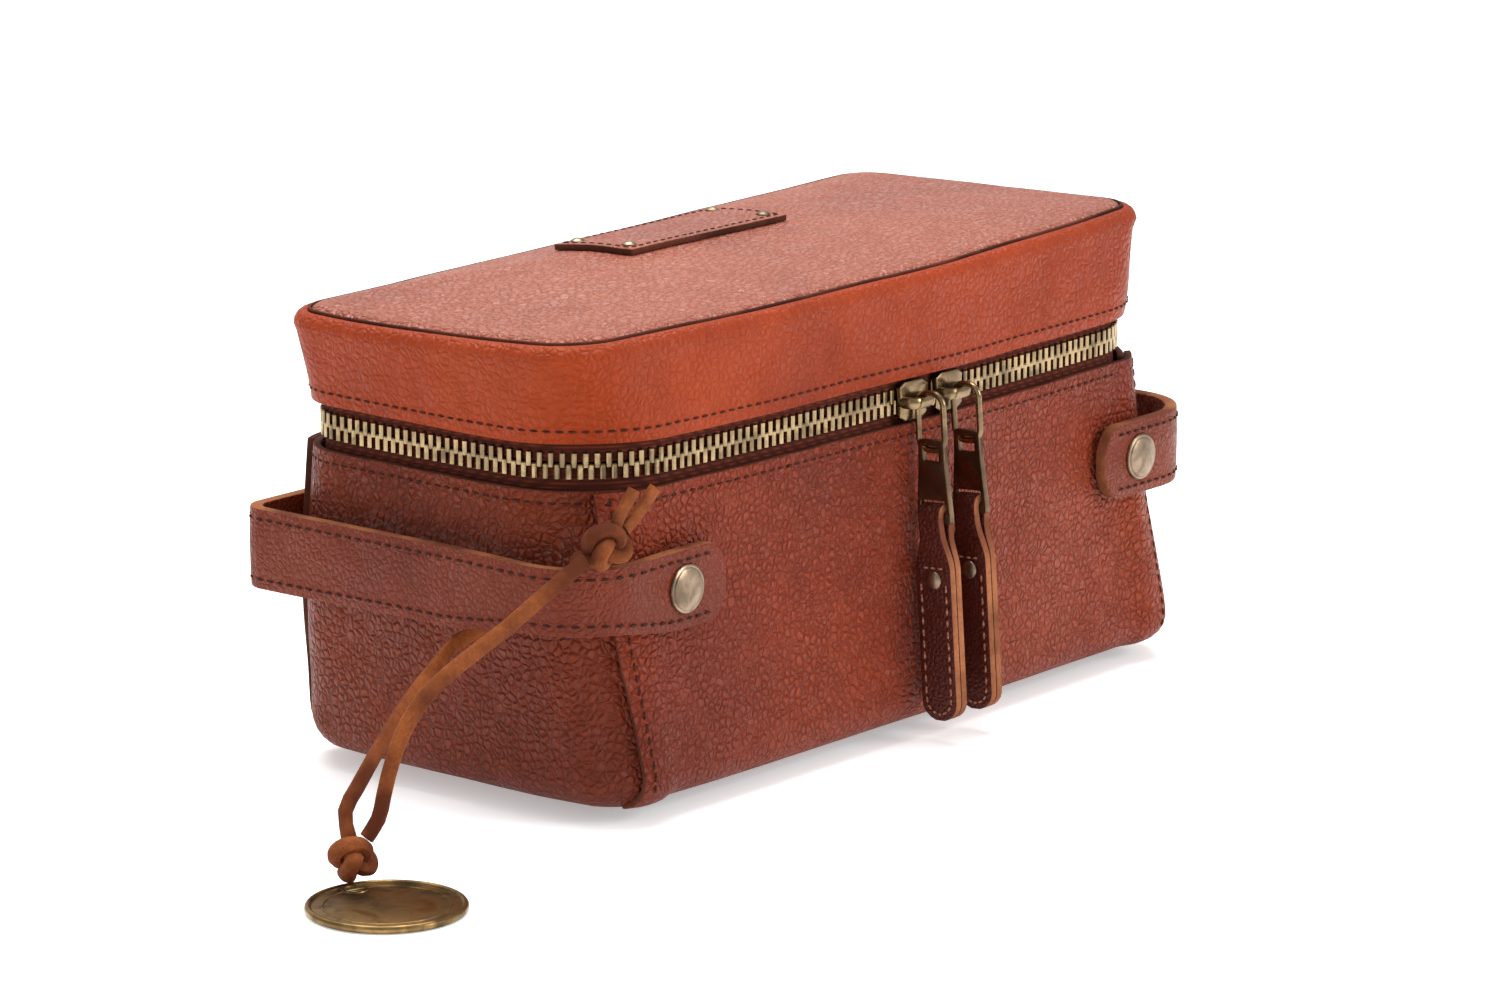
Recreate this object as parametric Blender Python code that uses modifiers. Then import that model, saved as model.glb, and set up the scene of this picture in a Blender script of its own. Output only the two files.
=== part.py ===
"""Leather shaving kit bag with a zipped lid, side handles and a brass tag on a lace.

Units are metres, +Z is up, the front faces -Y, and the bag stands on Z = 0.
"""
import math

import bmesh
import bpy
from mathutils import Matrix, Vector

MM = 0.001

# ---- driving dimensions -------------------------------------------------------------------
CENTRE_Y = 6.3 * MM            # the bag's middle plane, behind the middle of the whole object
GAP = 0.3 * MM                 # air between pieces that touch
LEATHER = 2.4 * MM             # panel thickness
CLOTH = 1.0 * MM               # lining thickness
TAPE = 1.2 * MM                # zip tape and gusset thickness
TAPE_INSET = 2.7 * MM          # tape's outer face, behind the leather's outer face
LINING_INSET = 4.4 * MM
BASE_Z = 4.0 * MM              # underside of the leather base, above the feet's soles
BODY_TOP = 86.0 * MM
ZIP_Z = 92.0 * MM              # the line where the two tooth rows meet
LID_BOTTOM = 98.0 * MM
SEAM_Z = 120.5 * MM            # lid seam at the middle of a side
SEAM_RISE = 4.0 * MM           # how much higher the seam stands at the corners
CROWN_Z = 129.5 * MM           # top of the lid
PANEL_SEAM_X = 109.0 * MM      # where a front or back panel meets an end panel
SEAM_GAP = 1.0 * MM            # between the edges of two panels
ZIP_END_X = 88.0 * MM          # the zip stops here on the back and the gusset starts
TOOTH_ROW_HEIGHT = 4.1 * MM
TOOTH_ROW_GAP = 1.2 * MM       # between the rows, where the sliders' posts run
TOOTH_ROW_DEPTH = 3.0 * MM

FOOT_X, FOOT_Y = 92.0 * MM, 40.0 * MM
HANDLE_RIVET_X = {"left": 95.0 * MM, "right": 100.0 * MM}
RIVET_INSIDE = {"left": (49.5 * MM, 48.4 * MM), "right": (48.0 * MM, 47.0 * MM)}
HANDLE_Z = 60.0 * MM
HANDLE_WIDTH = 21.0 * MM
HANDLE_THICK = 3.5 * MM
HANDLE_REACH = 130.4 * MM      # middle of the strap where it passes the bag's end
HANDLE_FRONT_Y, HANDLE_BACK_Y = -59.6 * MM, 58.2 * MM
HANDLE_TAB = 16.0 * MM         # strap past the rivet
HANDLE_FRONT_BEND, HANDLE_BACK_BEND = 20.0 * MM, 8.0 * MM

SLIDER_X = {"left": 2.0 * MM, "right": 17.5 * MM}
SLIDER_WIDTH, SLIDER_HEIGHT, SLIDER_PLATE = 11.5 * MM, 10.6 * MM, 1.8 * MM
BRIDGE_OUT = 3.5 * MM          # slider face to the bridge bar's middle
BRIDGE_BAR = 1.2 * MM          # bar radius
RING_WIRE = 0.85 * MM
RING_WIDTH, RING_HEIGHT = 8.5 * MM, 15.2 * MM
PULL_LEAN = 4.0                # degrees that the hanging pulls lean out from the bag
PLATE_THICK = 2.0 * MM
PLATE_LENGTH = 19.5 * MM
STRIP_WIDTH, STRIP_THICK, STRIP_LENGTH = 11.5 * MM, 4.6 * MM, 51.5 * MM

PATCH_SIZE = (62.0 * MM, 29.0 * MM)
PATCH_CENTRE = (-5.0 * MM, 20.0 * MM)
PATCH_THICK = 1.8 * MM

TAG_CENTRE = (-203.3 * MM, -57.7 * MM)
TAG_RADIUS, TAG_THICK = 20.0 * MM, 2.2 * MM
LACE_RADIUS = 1.5 * MM


class Section:
    """One level of the bag: a rounded rectangle whose sides bow outwards."""

    def __init__(self, z, half_length, half_depth, corner, front_bow, end_bow, back_bow):
        self.z = z
        self.half_length = half_length
        self.half_depth = half_depth
        self.corner = corner
        self.front_bow = front_bow
        self.end_bow = end_bow
        self.back_bow = back_bow

    def values(self):
        return (self.z, self.half_length, self.half_depth, self.corner,
                self.front_bow, self.end_bow, self.back_bow)

    def towards(self, other, share):
        """The section that lies this share of the way to another."""
        mixed = [a + (b - a) * share for a, b in zip(self.values(), other.values())]
        return Section(*mixed)

    def inset(self, depth, z=None):
        """The same level, with its outline moved inwards."""
        return Section(self.z if z is None else z, self.half_length - depth,
                       self.half_depth - depth, max(self.corner - depth, 1 * MM),
                       self.front_bow, self.end_bow, self.back_bow)

    def point(self, turn):
        """A point of the outline: 0 is the front's middle, 1 and 2 the front right corner's
        ends, 3 and 4 the back right corner's, 5 to 8 the left half, and 9 the front's middle."""
        straight_x = self.half_length - self.corner
        straight_y = self.half_depth - self.corner
        side = int(min(math.floor(turn), 8))
        share = turn - side
        arc = share * math.pi / 2
        sin, cos = self.corner * math.sin(arc), self.corner * math.cos(arc)
        x, y = (
            (straight_x * share, -self.half_depth),
            (straight_x + sin, -straight_y - cos),
            (self.half_length, -straight_y + 2 * straight_y * share),
            (straight_x + cos, straight_y + sin),
            (straight_x - 2 * straight_x * share, self.half_depth),
            (-straight_x - sin, straight_y + cos),
            (-self.half_length, straight_y - 2 * straight_y * share),
            (-straight_x - cos, -straight_y - sin),
            (-straight_x + straight_x * share, -self.half_depth),
        )[side]
        bow = self.front_bow if y < 0 else self.back_bow
        bowed_x = x * (1 + self.end_bow / self.half_length * (1 - (y / self.half_depth) ** 2))
        bowed_y = y * (1 + bow / self.half_depth * (1 - (x / self.half_length) ** 2))
        return Vector((bowed_x, bowed_y, self.z))

    def turn_at_x(self, x):
        """Where the right half of the front reaches this distance from the middle."""
        straight_x = self.half_length - self.corner
        if x <= straight_x:
            return x / straight_x
        return 1 + math.asin(min((x - straight_x) / self.corner, 1)) * 2 / math.pi


BASE = Section(13 * MM, 121.5 * MM, 57 * MM, 15 * MM, 1.5 * MM, 2.5 * MM, 1.5 * MM)
WAIST = Section(50 * MM, 120.5 * MM, 55 * MM, 21 * MM, 3.5 * MM, 2.5 * MM, 1.2 * MM)
RIM = Section(BODY_TOP, 120.5 * MM, 53 * MM, 28 * MM, 5 * MM, 2.5 * MM, 0.8 * MM)
LID_EDGE = Section(LID_BOTTOM, 120.5 * MM, 53 * MM, 28 * MM, 5 * MM, 2.5 * MM, 0.8 * MM)
LID_SEAM = Section(SEAM_Z, 122.5 * MM, 53 * MM, 14 * MM, 6.5 * MM, 3 * MM, 1 * MM)
ALL_ROUND = 9.0
CORNER_STEPS = 5
SIDE_STEPS = 3


def body_section(z):
    """The body's outer face at a height above the rolled bottom edge."""
    if z < WAIST.z:
        return BASE.towards(WAIST, (z - BASE.z) / (WAIST.z - BASE.z))
    return WAIST.towards(RIM, (z - WAIST.z) / (RIM.z - WAIST.z))


def lid_section(z):
    """The lid band's outer face at a height between its lower edge and the seam."""
    return LID_EDGE.towards(LID_SEAM, (z - LID_EDGE.z) / (LID_SEAM.z - LID_EDGE.z))


def body_levels():
    """The body panels' outer face, from the lip under the bag to the rim."""
    rolled = [BASE.inset(8.3 * MM, BASE_Z), BASE.inset(3.4 * MM, BASE_Z + 0.8 * MM),
              BASE.inset(0.8 * MM, BASE_Z + 3.6 * MM)]
    return rolled + [BASE, body_section(31 * MM), WAIST, body_section(68 * MM), RIM]


# ---- materials ----------------------------------------------------------------------------
def material(name, colour, roughness, metallic=0.0):
    made = bpy.data.materials.new(name)
    made.use_nodes = True
    shader = made.node_tree.nodes["Principled BSDF"]
    shader.inputs["Base Color"].default_value = (*colour, 1)
    shader.inputs["Roughness"].default_value = roughness
    shader.inputs["Metallic"].default_value = metallic
    made.diffuse_color = (*colour, 1)
    return made


# ---- mesh helpers -------------------------------------------------------------------------
def collection(name):
    made = bpy.data.collections.new(name)
    bpy.context.scene.collection.children.link(made)
    return made


def add_object(name, mesh, finish):
    made = bpy.data.objects.new(name, mesh)
    PARTS.objects.link(made)
    made.data.materials.append(finish)
    return made


def mesh_from(work, name, smooth=True):
    mesh = bpy.data.meshes.new(name)
    work.to_mesh(mesh)
    work.free()
    if smooth:
        mesh.shade_smooth()
        mesh.set_sharp_from_angle(angle=math.radians(40))
    return mesh


def loft(rows, ring):
    """Rows of points joined by bridging each row to the next."""
    work = bmesh.new()
    previous = None
    for row in rows:
        points = [work.verts.new(p) for p in row]
        pairs = list(zip(points, points[1:]))
        if ring:
            pairs.append((points[-1], points[0]))
        edges = [work.edges.new(pair) for pair in pairs]
        if previous:
            bmesh.ops.bridge_loops(work, edges=previous + edges)
        previous = edges
    return work, previous


def face_outwards(work):
    """Makes the faces of an open sheet agree, with the first one facing away from the bag's axis."""
    bmesh.ops.recalc_face_normals(work, faces=work.faces[:])
    face = work.faces[:][0]
    middle = face.calc_center_median()
    if face.normal.dot(Vector((middle.x, middle.y, 0))) < 0:
        bmesh.ops.reverse_faces(work, faces=work.faces[:])


def solidify(made, thickness, offset=-1.0):
    shell = made.modifiers.new("Thickness", "SOLIDIFY")
    shell.thickness = thickness
    shell.offset = offset
    shell.use_even_offset = True
    return made


def turns_between(start, end, straight_steps):
    """Turn values from start to end, on stations shared by every layer of the bag."""
    turns = [start]
    for side in range(math.floor(start), math.ceil(end)):
        corner = side % 9 % 2 == 1
        steps = CORNER_STEPS if corner else straight_steps
        stations = (side + i / steps for i in range(steps))
        turns += [t for t in stations if start + 1e-6 < t < end - 1e-6]
    return turns + [end]


def row(section, turns):
    return [section.point(t % ALL_ROUND) for t in turns]


def ring_turns():
    return turns_between(0.0, ALL_ROUND, SIDE_STEPS)[:-1]


def band(name, sections, turns, thickness, finish, rise=None):
    """A sheet that follows the bag's outline: a strip, or a ring where turns is None."""
    rows = []
    for i, section in enumerate(sections):
        points = row(section, ring_turns() if turns is None else turns[i])
        rows.append([p + Vector((0, 0, rise(p, i))) for p in points] if rise else points)
    work, _ = loft(rows, turns is None)
    face_outwards(work)
    return solidify(add_object(name, mesh_from(work, name), finish), thickness)


def board(name, section, thickness, finish):
    """A flat board whose outline is the bag's, standing on the section's height."""
    outline = [(p.x, p.y) for p in row(section, ring_turns())]
    place = Matrix.Translation((0, 0, section.z + thickness / 2))
    return flat_outline(name, [outline], thickness, finish, place)


def flat_outline(name, loops, thickness, finish, place):
    """A flat piece: a filled 2D curve, extruded by its thickness, with any further loops as holes."""
    curve = bpy.data.curves.new(name, "CURVE")
    curve.dimensions = "2D"
    curve.fill_mode = "BOTH"
    curve.extrude = thickness / 2
    for points in loops:
        spline = curve.splines.new("POLY")
        spline.points.add(len(points) - 1)
        for control, (x, y) in zip(spline.points, points):
            control.co = (x, y, 0, 1)
        spline.use_cyclic_u = True
    guide = bpy.data.objects.new(name + "_outline", curve)
    PARTS.objects.link(guide)
    made = curve_to_mesh(guide, name, finish)
    made.data.transform(place)
    return made


def curve_to_mesh(guide, name, finish):
    """Turns a curve into a closed mesh, so that it can be cut and joined."""
    bpy.context.view_layer.update()
    ready = guide.evaluated_get(bpy.context.evaluated_depsgraph_get())
    mesh = bpy.data.meshes.new_from_object(ready)
    mesh.transform(guide.matrix_world)
    work = bmesh.new()
    work.from_mesh(mesh)
    bmesh.ops.remove_doubles(work, verts=work.verts, dist=0.001 * MM)
    work.to_mesh(mesh)
    work.free()
    mesh.materials.clear()
    bpy.data.objects.remove(guide)
    return add_object(name, mesh, finish)


def tube(name, points, radius, finish, closed=False):
    """A round wire or lace along points."""
    curve = bpy.data.curves.new(name, "CURVE")
    curve.dimensions = "3D"
    curve.bevel_depth = radius
    curve.bevel_resolution = 2
    curve.use_fill_caps = not closed
    spline = curve.splines.new("POLY")
    spline.points.add(len(points) - 1)
    for control, p in zip(spline.points, points):
        control.co = (*p, 1)
    spline.use_cyclic_u = closed
    curve.materials.append(finish)
    made = bpy.data.objects.new(name, curve)
    PARTS.objects.link(made)
    return made


def rounded_loop(width, height, radius, steps, centre=(0.0, 0.0)):
    """A rounded rectangle's outline, anticlockwise."""
    points = []
    for quarter, (sx, sy) in enumerate(((1, 1), (-1, 1), (-1, -1), (1, -1))):
        cx = centre[0] + sx * (width / 2 - radius)
        cy = centre[1] + sy * (height / 2 - radius)
        for i in range(steps + 1):
            angle = (quarter + i / steps) * math.pi / 2
            points.append((cx + radius * math.cos(angle), cy + radius * math.sin(angle)))
    return points


def turned(name, profile, steps, finish):
    """A round piece: (radius, height) points, top to bottom, turned about Z."""
    work = bmesh.new()
    points = [work.verts.new((r, 0, z)) for r, z in profile]
    for a, b in zip(points, points[1:]):
        work.edges.new((a, b))
    mesh = bpy.data.meshes.new(name)
    work.to_mesh(mesh)
    work.free()
    made = add_object(name, mesh, finish)
    screw = made.modifiers.new("Turn", "SCREW")
    screw.steps = steps
    screw.render_steps = steps
    screw.use_merge_vertices = True
    screw.merge_threshold = 0.01 * MM
    screw.use_smooth_shade = True
    return made


def apply_modifiers(made):
    """Bakes a piece's modifiers into its mesh."""
    bpy.context.view_layer.update()
    ready = made.evaluated_get(bpy.context.evaluated_depsgraph_get())
    mesh = bpy.data.meshes.new_from_object(ready)
    made.modifiers.clear()
    made.data = mesh
    return made


def cylinder_cutter(name, radius, start, end, sides=16):
    """A round cutter between two points."""
    start, end = Vector(start), Vector(end)
    along = end - start
    work = bmesh.new()
    bmesh.ops.create_cone(work, cap_ends=True, segments=sides, radius1=radius, radius2=radius,
                          depth=along.length)
    turn = Vector((0, 0, 1)).rotation_difference(along).to_matrix().to_4x4()
    work.transform(Matrix.Translation((start + end) / 2) @ turn)
    cutter = bpy.data.objects.new(name, mesh_from(work, name, smooth=False))
    CUTTERS.objects.link(cutter)
    cutter.hide_render = True
    cutter.display_type = "WIRE"
    return cutter


def cut(made, cutter):
    hole = made.modifiers.new("Hole " + cutter.name, "BOOLEAN")
    hole.operation = "DIFFERENCE"
    hole.solver = "EXACT"
    hole.object = cutter
    return made


def join(made, others):
    """Unites other pieces with this one and removes them."""
    for other in others:
        union = made.modifiers.new("Join", "BOOLEAN")
        union.operation = "UNION"
        union.solver = "EXACT"
        union.object = other
        apply_modifiers(made)
        bpy.data.objects.remove(other)
    return made


def block(name, low, high, finish):
    """A box between two corners."""
    work = bmesh.new()
    bmesh.ops.create_cube(work, size=1.0)
    low, high = Vector(low), Vector(high)
    size = high - low
    work.transform(Matrix.Translation((low + high) / 2) @ Matrix.Diagonal((*size, 1)))
    return add_object(name, mesh_from(work, name, smooth=False), finish)


def pivot(name, place, parent):
    """An empty on a joint's axis, which carries the pieces that move about it."""
    made = bpy.data.objects.new(name, None)
    PARTS.objects.link(made)
    made.location = place
    made.parent = parent
    return made


def carry(parent, *pieces):
    """Hangs pieces that were modelled in their parent's frame on that parent."""
    for piece in pieces:
        piece.parent = parent


# ---- body ---------------------------------------------------------------------------------
def seam_reach(section):
    """Turn value of the front right panel seam, short of it by half the seam's gap."""
    half_gap = SEAM_GAP / 2 / (section.corner * math.pi / 2)
    return section.turn_at_x(PANEL_SEAM_X), half_gap


def front_turns(section):
    reach, half_gap = seam_reach(section)
    return turns_between(ALL_ROUND - reach + half_gap, ALL_ROUND + reach - half_gap, 4)


def back_turns(section):
    reach, half_gap = seam_reach(section)
    start = 5 - reach + half_gap
    return turns_between(start, 9 - start, 2 * SIDE_STEPS)


def end_turns(section, left):
    reach, half_gap = seam_reach(section)
    start, end = reach + half_gap, 5 - reach - half_gap
    if left:
        start, end = ALL_ROUND - end, ALL_ROUND - start
    return turns_between(start, end, SIDE_STEPS)


def body_panels():
    levels = body_levels()
    band("front_panel", levels, [front_turns(s) for s in levels], LEATHER, HIDE_BODY)
    band("back_panel", levels, [back_turns(s) for s in levels], LEATHER, HIDE_BODY)
    band("end_panel_left", levels, [end_turns(s, True) for s in levels], LEATHER, HIDE_BODY)
    band("end_panel_right", levels, [end_turns(s, False) for s in levels], LEATHER, HIDE_BODY)


def tub(name, levels, thickness, finish, closed_end):
    """A cloth tub: rings that end in a filled floor, or in a filled ceiling."""
    work, last = loft([row(s, ring_turns()) for s in levels], True)
    bmesh.ops.edgeloop_fill(work, edges=last)
    bmesh.ops.recalc_face_normals(work, faces=work.faces[:])
    flat = max(work.faces, key=lambda face: len(face.verts))
    if flat.normal.z * closed_end < 0:
        bmesh.ops.reverse_faces(work, faces=work.faces[:])
    return solidify(add_object(name, mesh_from(work, name), finish), thickness)


def body_inside():
    floor_z = BASE_Z + 6.4 * MM
    board("base_panel", BASE.inset(9.2 * MM, BASE_Z), LEATHER, HIDE_BODY)
    board("base_board", BASE.inset(9.6 * MM, BASE_Z + LEATHER + GAP), 2.0 * MM, CARD)
    levels = [body_section(BODY_TOP - 0.5 * MM).inset(LINING_INSET), WAIST.inset(LINING_INSET),
              BASE.inset(LINING_INSET, BASE.z + 5 * MM),
              BASE.inset(LINING_INSET + 1.2 * MM, floor_z + 2 * MM),
              BASE.inset(LINING_INSET + 5 * MM, floor_z)]
    tub("body_lining", levels, CLOTH, LINING, -1)


def zip_section(z):
    """The outline at the zip: the rim's between the leather edges, the leather's beyond them."""
    if z < RIM.z:
        return body_section(z)
    if z > LID_EDGE.z:
        return lid_section(z)
    return RIM.inset(0, z)


def zip_turns(section):
    """The zip's run, from the back's left, round the front, to the back's right."""
    on_back = (1 - ZIP_END_X / (section.half_length - section.corner)) / 2
    return turns_between(5 - on_back, ALL_ROUND + 4 + on_back, 4)


def gusset_turns(section):
    """The back between the zip's two ends."""
    straight = section.half_length - section.corner
    on_back = (1 - (ZIP_END_X - 2 * GAP) / straight) / 2
    return turns_between(4 + on_back, 5 - on_back, 2 * SIDE_STEPS)


def zip_side(name, tape_levels, teeth_levels, gusset_levels):
    """One half of the zip: its tape and its tooth row, and the leather gusset behind it."""
    tape = [zip_section(z).inset(TAPE_INSET) for z in tape_levels]
    band("zip_tape_" + name, tape, [zip_turns(s) for s in tape], TAPE, TAPE_CLOTH)
    teeth_inset = TAPE_INSET + TAPE / 2 - TOOTH_ROW_DEPTH / 2
    teeth = [RIM.inset(teeth_inset, z) for z in teeth_levels]
    band("zip_teeth_" + name, teeth, [zip_turns(s) for s in teeth], TOOTH_ROW_DEPTH, BRASS)
    back = [zip_section(z).inset(TAPE_INSET) for z in gusset_levels]
    band("hinge_gusset_" + name, back, [gusset_turns(s) for s in back], TAPE, HIDE_BODY)


def zip_halves():
    near, far = TOOTH_ROW_GAP / 2, TOOTH_ROW_GAP / 2 + TOOTH_ROW_HEIGHT
    tuck = 7 * MM
    zip_side("lower", (BODY_TOP - tuck, BODY_TOP, ZIP_Z - far - GAP), (ZIP_Z - far, ZIP_Z - near),
             (BODY_TOP - tuck, BODY_TOP, ZIP_Z - GAP))
    zip_side("upper", (ZIP_Z + far + GAP, LID_BOTTOM, LID_BOTTOM + tuck),
             (ZIP_Z + near, ZIP_Z + far), (ZIP_Z + GAP, LID_BOTTOM, LID_BOTTOM + tuck))


def feet():
    head_top, washer = BASE_Z - GAP, BASE_Z + LEATHER + GAP + 2 * MM + GAP
    profile = [(0, washer + 0.8 * MM), (4 * MM, washer + 0.8 * MM), (4 * MM, washer),
               (1.5 * MM, washer), (1.5 * MM, head_top), (5.5 * MM, head_top),
               (5.5 * MM, 2.4 * MM), (4.6 * MM, 0.8 * MM), (3.4 * MM, 0), (0, 0)]
    for end, x in (("left", -FOOT_X), ("right", FOOT_X)):
        for face, y in (("front", -FOOT_Y), ("back", FOOT_Y)):
            foot = turned(f"foot_{face}_{end}", profile, 16, BRASS)
            foot.location = (x, y, 0)
            hole = cylinder_cutter(f"foot_hole_{face}_{end}", 1.9 * MM, (x, y, 0), (x, y, 9 * MM))
            cut(bpy.data.objects["base_panel"], hole)
            cut(bpy.data.objects["base_board"], hole)


# ---- lid ----------------------------------------------------------------------------------
def seam_height(p):
    """The lid seam stands higher at the corners than along the sides."""
    share = (p.x / LID_SEAM.half_length) ** 2 * (p.y / LID_SEAM.half_depth) ** 2
    return SEAM_RISE * min(share, 1.0)


# how far in from the seam, as a scale of the outline, and how much of the rise is done there
CROWN = ((1.0, 0.0), (0.998, 0.12), (0.985, 0.28), (0.955, 0.4), (0.88, 0.53),
         (0.72, 0.7), (0.45, 0.9), (0.15, 1.0))


def crown_rows(turns, start_above_seam):
    rows = []
    for scale, share in CROWN:
        points = []
        for p in row(LID_SEAM, turns):
            seam = SEAM_Z + seam_height(p) + start_above_seam
            points.append(Vector((p.x * scale, p.y * scale, seam + (CROWN_Z - seam) * share)))
        rows.append(points)
    return rows


def crown_height(x, y):
    """Height of the lid's top at a place: the crown is read along the line to its middle."""
    low, high = 0.0, 1.2
    for _ in range(30):
        scale = (low + high) / 2
        edge = (abs(x) / (LID_SEAM.half_length * scale + 1e-9)) ** 4
        edge += (abs(y) / (LID_SEAM.half_depth * scale + 1e-9)) ** 4
        low, high = (scale, high) if edge > 1 else (low, scale)
    stops = list(reversed(CROWN))
    share = stops[0][1]
    for (s0, r0), (s1, r1) in zip(stops, stops[1:]):
        if s0 <= scale <= s1:
            share = r0 + (r1 - r0) * (scale - s0) / (s1 - s0)
    return SEAM_Z + (CROWN_Z - SEAM_Z) * share


def lid():
    levels = [LID_EDGE, LID_EDGE.towards(LID_SEAM, 0.5), LID_SEAM]
    band("lid_band", levels, None, LEATHER, HIDE_LID,
         lambda p, i: seam_height(p) * (0, 0, 1)[i])
    work, last = loft(crown_rows(ring_turns(), 5.5 * GAP), True)
    bmesh.ops.edgeloop_fill(work, edges=last)
    bmesh.ops.recalc_face_normals(work, faces=work.faces[:])
    top = max(work.faces, key=lambda face: face.calc_center_median().z)
    if top.normal.z < 0:
        bmesh.ops.reverse_faces(work, faces=work.faces[:])
    solidify(add_object("lid_top", mesh_from(work, "lid_top"), HIDE_LID), 2.0 * MM)
    board("lid_board", LID_SEAM.inset(7.5 * MM, SEAM_Z + 0.8 * MM), 1.6 * MM, CARD)
    levels = [lid_section(LID_BOTTOM + 0.5 * MM).inset(LINING_INSET),
              lid_section(SEAM_Z - 4 * MM).inset(LINING_INSET),
              LID_SEAM.inset(LINING_INSET + 3 * MM, SEAM_Z - 0.2 * MM)]
    tub("lid_lining", levels, CLOTH, LINING, 1)


def patch():
    """A stitched leather label that follows the lid's crown, with a rivet in each corner."""
    steps_x, steps_y = 6, 4
    rows = []
    for j in range(steps_y + 1):
        y = PATCH_CENTRE[1] + PATCH_SIZE[1] * (j / steps_y - 0.5)
        across = [PATCH_CENTRE[0] + PATCH_SIZE[0] * (i / steps_x - 0.5)
                  for i in range(steps_x + 1)]
        rows.append([Vector((x, y, crown_height(x, y) + PATCH_THICK + 4 * GAP)) for x in across])
    work, _ = loft(rows, False)
    bmesh.ops.recalc_face_normals(work, faces=work.faces[:])
    if work.faces[:][0].normal.z < 0:
        bmesh.ops.reverse_faces(work, faces=work.faces[:])
    solidify(add_object("top_patch", mesh_from(work, "top_patch"), HIDE_LID), PATCH_THICK)
    profile = [(0, 0.9 * MM), (1.2 * MM, 0.75 * MM), (1.9 * MM, 0.35 * MM), (2.1 * MM, 0), (0, 0)]
    for end, side in (("left", -1), ("right", 1)):
        for face, depth in (("front", -1), ("back", 1)):
            x = PATCH_CENTRE[0] + side * (PATCH_SIZE[0] / 2 - 5 * MM)
            y = PATCH_CENTRE[1] + depth * (PATCH_SIZE[1] / 2 - 5 * MM)
            rivet = turned(f"patch_rivet_{face}_{end}", profile, 12, BRASS)
            rivet.location = (x, y, crown_height(x, y) + PATCH_THICK + 5.6 * GAP)


# ---- handles ------------------------------------------------------------------------------
def quarter_turn(radius, steps=6):
    """How far along and how far across a strap has gone at steps of a quarter bend."""
    angles = [math.pi / 2 * i / steps for i in range(steps + 1)]
    return [(radius * math.sin(angle), radius * (1 - math.cos(angle))) for angle in angles]


def handle_path(name):
    """The strap's middle line in plan, from its front tab round the bag's end to its back tab."""
    tab_x = HANDLE_RIVET_X[name] - HANDLE_TAB
    bend_x = HANDLE_REACH - HANDLE_FRONT_BEND
    points = [(tab_x, HANDLE_FRONT_Y)]
    points += [(bend_x + along, HANDLE_FRONT_Y + across)
               for along, across in quarter_turn(HANDLE_FRONT_BEND)]
    bend_x = HANDLE_REACH - HANDLE_BACK_BEND
    points += [(bend_x + along, HANDLE_BACK_Y - across)
               for along, across in reversed(quarter_turn(HANDLE_BACK_BEND))]
    return points + [(tab_x, HANDLE_BACK_Y)]


def handle(name, side):
    low, high = HANDLE_Z - HANDLE_WIDTH / 2, HANDLE_Z + HANDLE_WIDTH / 2
    rows = [[Vector((side * x, y, z)) for x, y in handle_path(name)] for z in (low, high)]
    work, _ = loft(rows, False)
    ends = [v for v in work.verts if len(v.link_edges) == 2]
    bmesh.ops.bevel(work, geom=ends, offset=8 * MM, segments=4, profile=0.5,
                    affect="VERTICES", material=-1)
    bmesh.ops.recalc_face_normals(work, faces=work.faces[:])
    strap = add_object("handle_" + name, mesh_from(work, "handle_" + name), HIDE_BODY)
    solidify(strap, HANDLE_THICK, 0.0)
    x = side * HANDLE_RIVET_X[name]
    inside = dict(zip(("front", "back"), RIVET_INSIDE[name]))
    for face, y in (("front", HANDLE_FRONT_Y), ("back", HANDLE_BACK_Y)):
        out = abs(y) + HANDLE_THICK / 2 + GAP
        depth = out - inside[face]
        profile = [(0, 2.2 * MM), (3.4 * MM, 1.9 * MM), (5.6 * MM, 1.0 * MM), (6.4 * MM, 0.3 * MM),
                   (6.4 * MM, 0), (2 * MM, 0), (2 * MM, -depth), (4.6 * MM, -depth),
                   (4.6 * MM, -depth - MM), (0, -depth - MM)]
        rivet = turned(f"handle_rivet_{name}_{face}", profile, 16, BRASS)
        sign = math.copysign(1, y)
        rivet.location = (x, sign * out, HANDLE_Z)
        rivet.rotation_euler = (-sign * math.pi / 2, 0, 0)
        ends = [(x, sign * reach, HANDLE_Z) for reach in (inside[face] - MM, out + MM)]
        hole = cylinder_cutter(f"rivet_hole_{name}_{face}", 2.5 * MM, *ends)
        for piece in ("handle_" + name, face + "_panel", "body_lining"):
            cut(bpy.data.objects[piece], hole)


# ---- sliders and pulls --------------------------------------------------------------------
def slider(name):
    """Outer and inner plates joined by a post between the tooth rows, and a bridge for the ring.
    It is open at the top, so that the upper tooth row lifts out as the lid opens."""
    half, tall = SLIDER_WIDTH / 2, SLIDER_HEIGHT / 2
    face = BRIDGE_OUT
    inner = face + SLIDER_PLATE + TOOTH_ROW_DEPTH + 2 * GAP
    body = block("slider_" + name, (-half, face, -tall), (half, face + SLIDER_PLATE, tall), BRASS)
    back = block("inner", (-half, inner, -tall), (half, inner + SLIDER_PLATE, tall), BRASS)
    post = block("post", (-half * 0.7, face + MM, -GAP), (half * 0.7, inner + MM, GAP), BRASS)
    leg = half - BRIDGE_BAR - 0.2 * MM
    route = [(-leg, face + 0.6 * MM, 0), (-leg, 1.2 * MM, 0), (-leg + 1.2 * MM, 0, 0),
             (leg - 1.2 * MM, 0, 0), (leg, 1.2 * MM, 0), (leg, face + 0.6 * MM, 0)]
    bridge = curve_to_mesh(tube("bridge", route, BRIDGE_BAR, BRASS), "bridge", BRASS)
    return join(body, [back, post, bridge])


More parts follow.
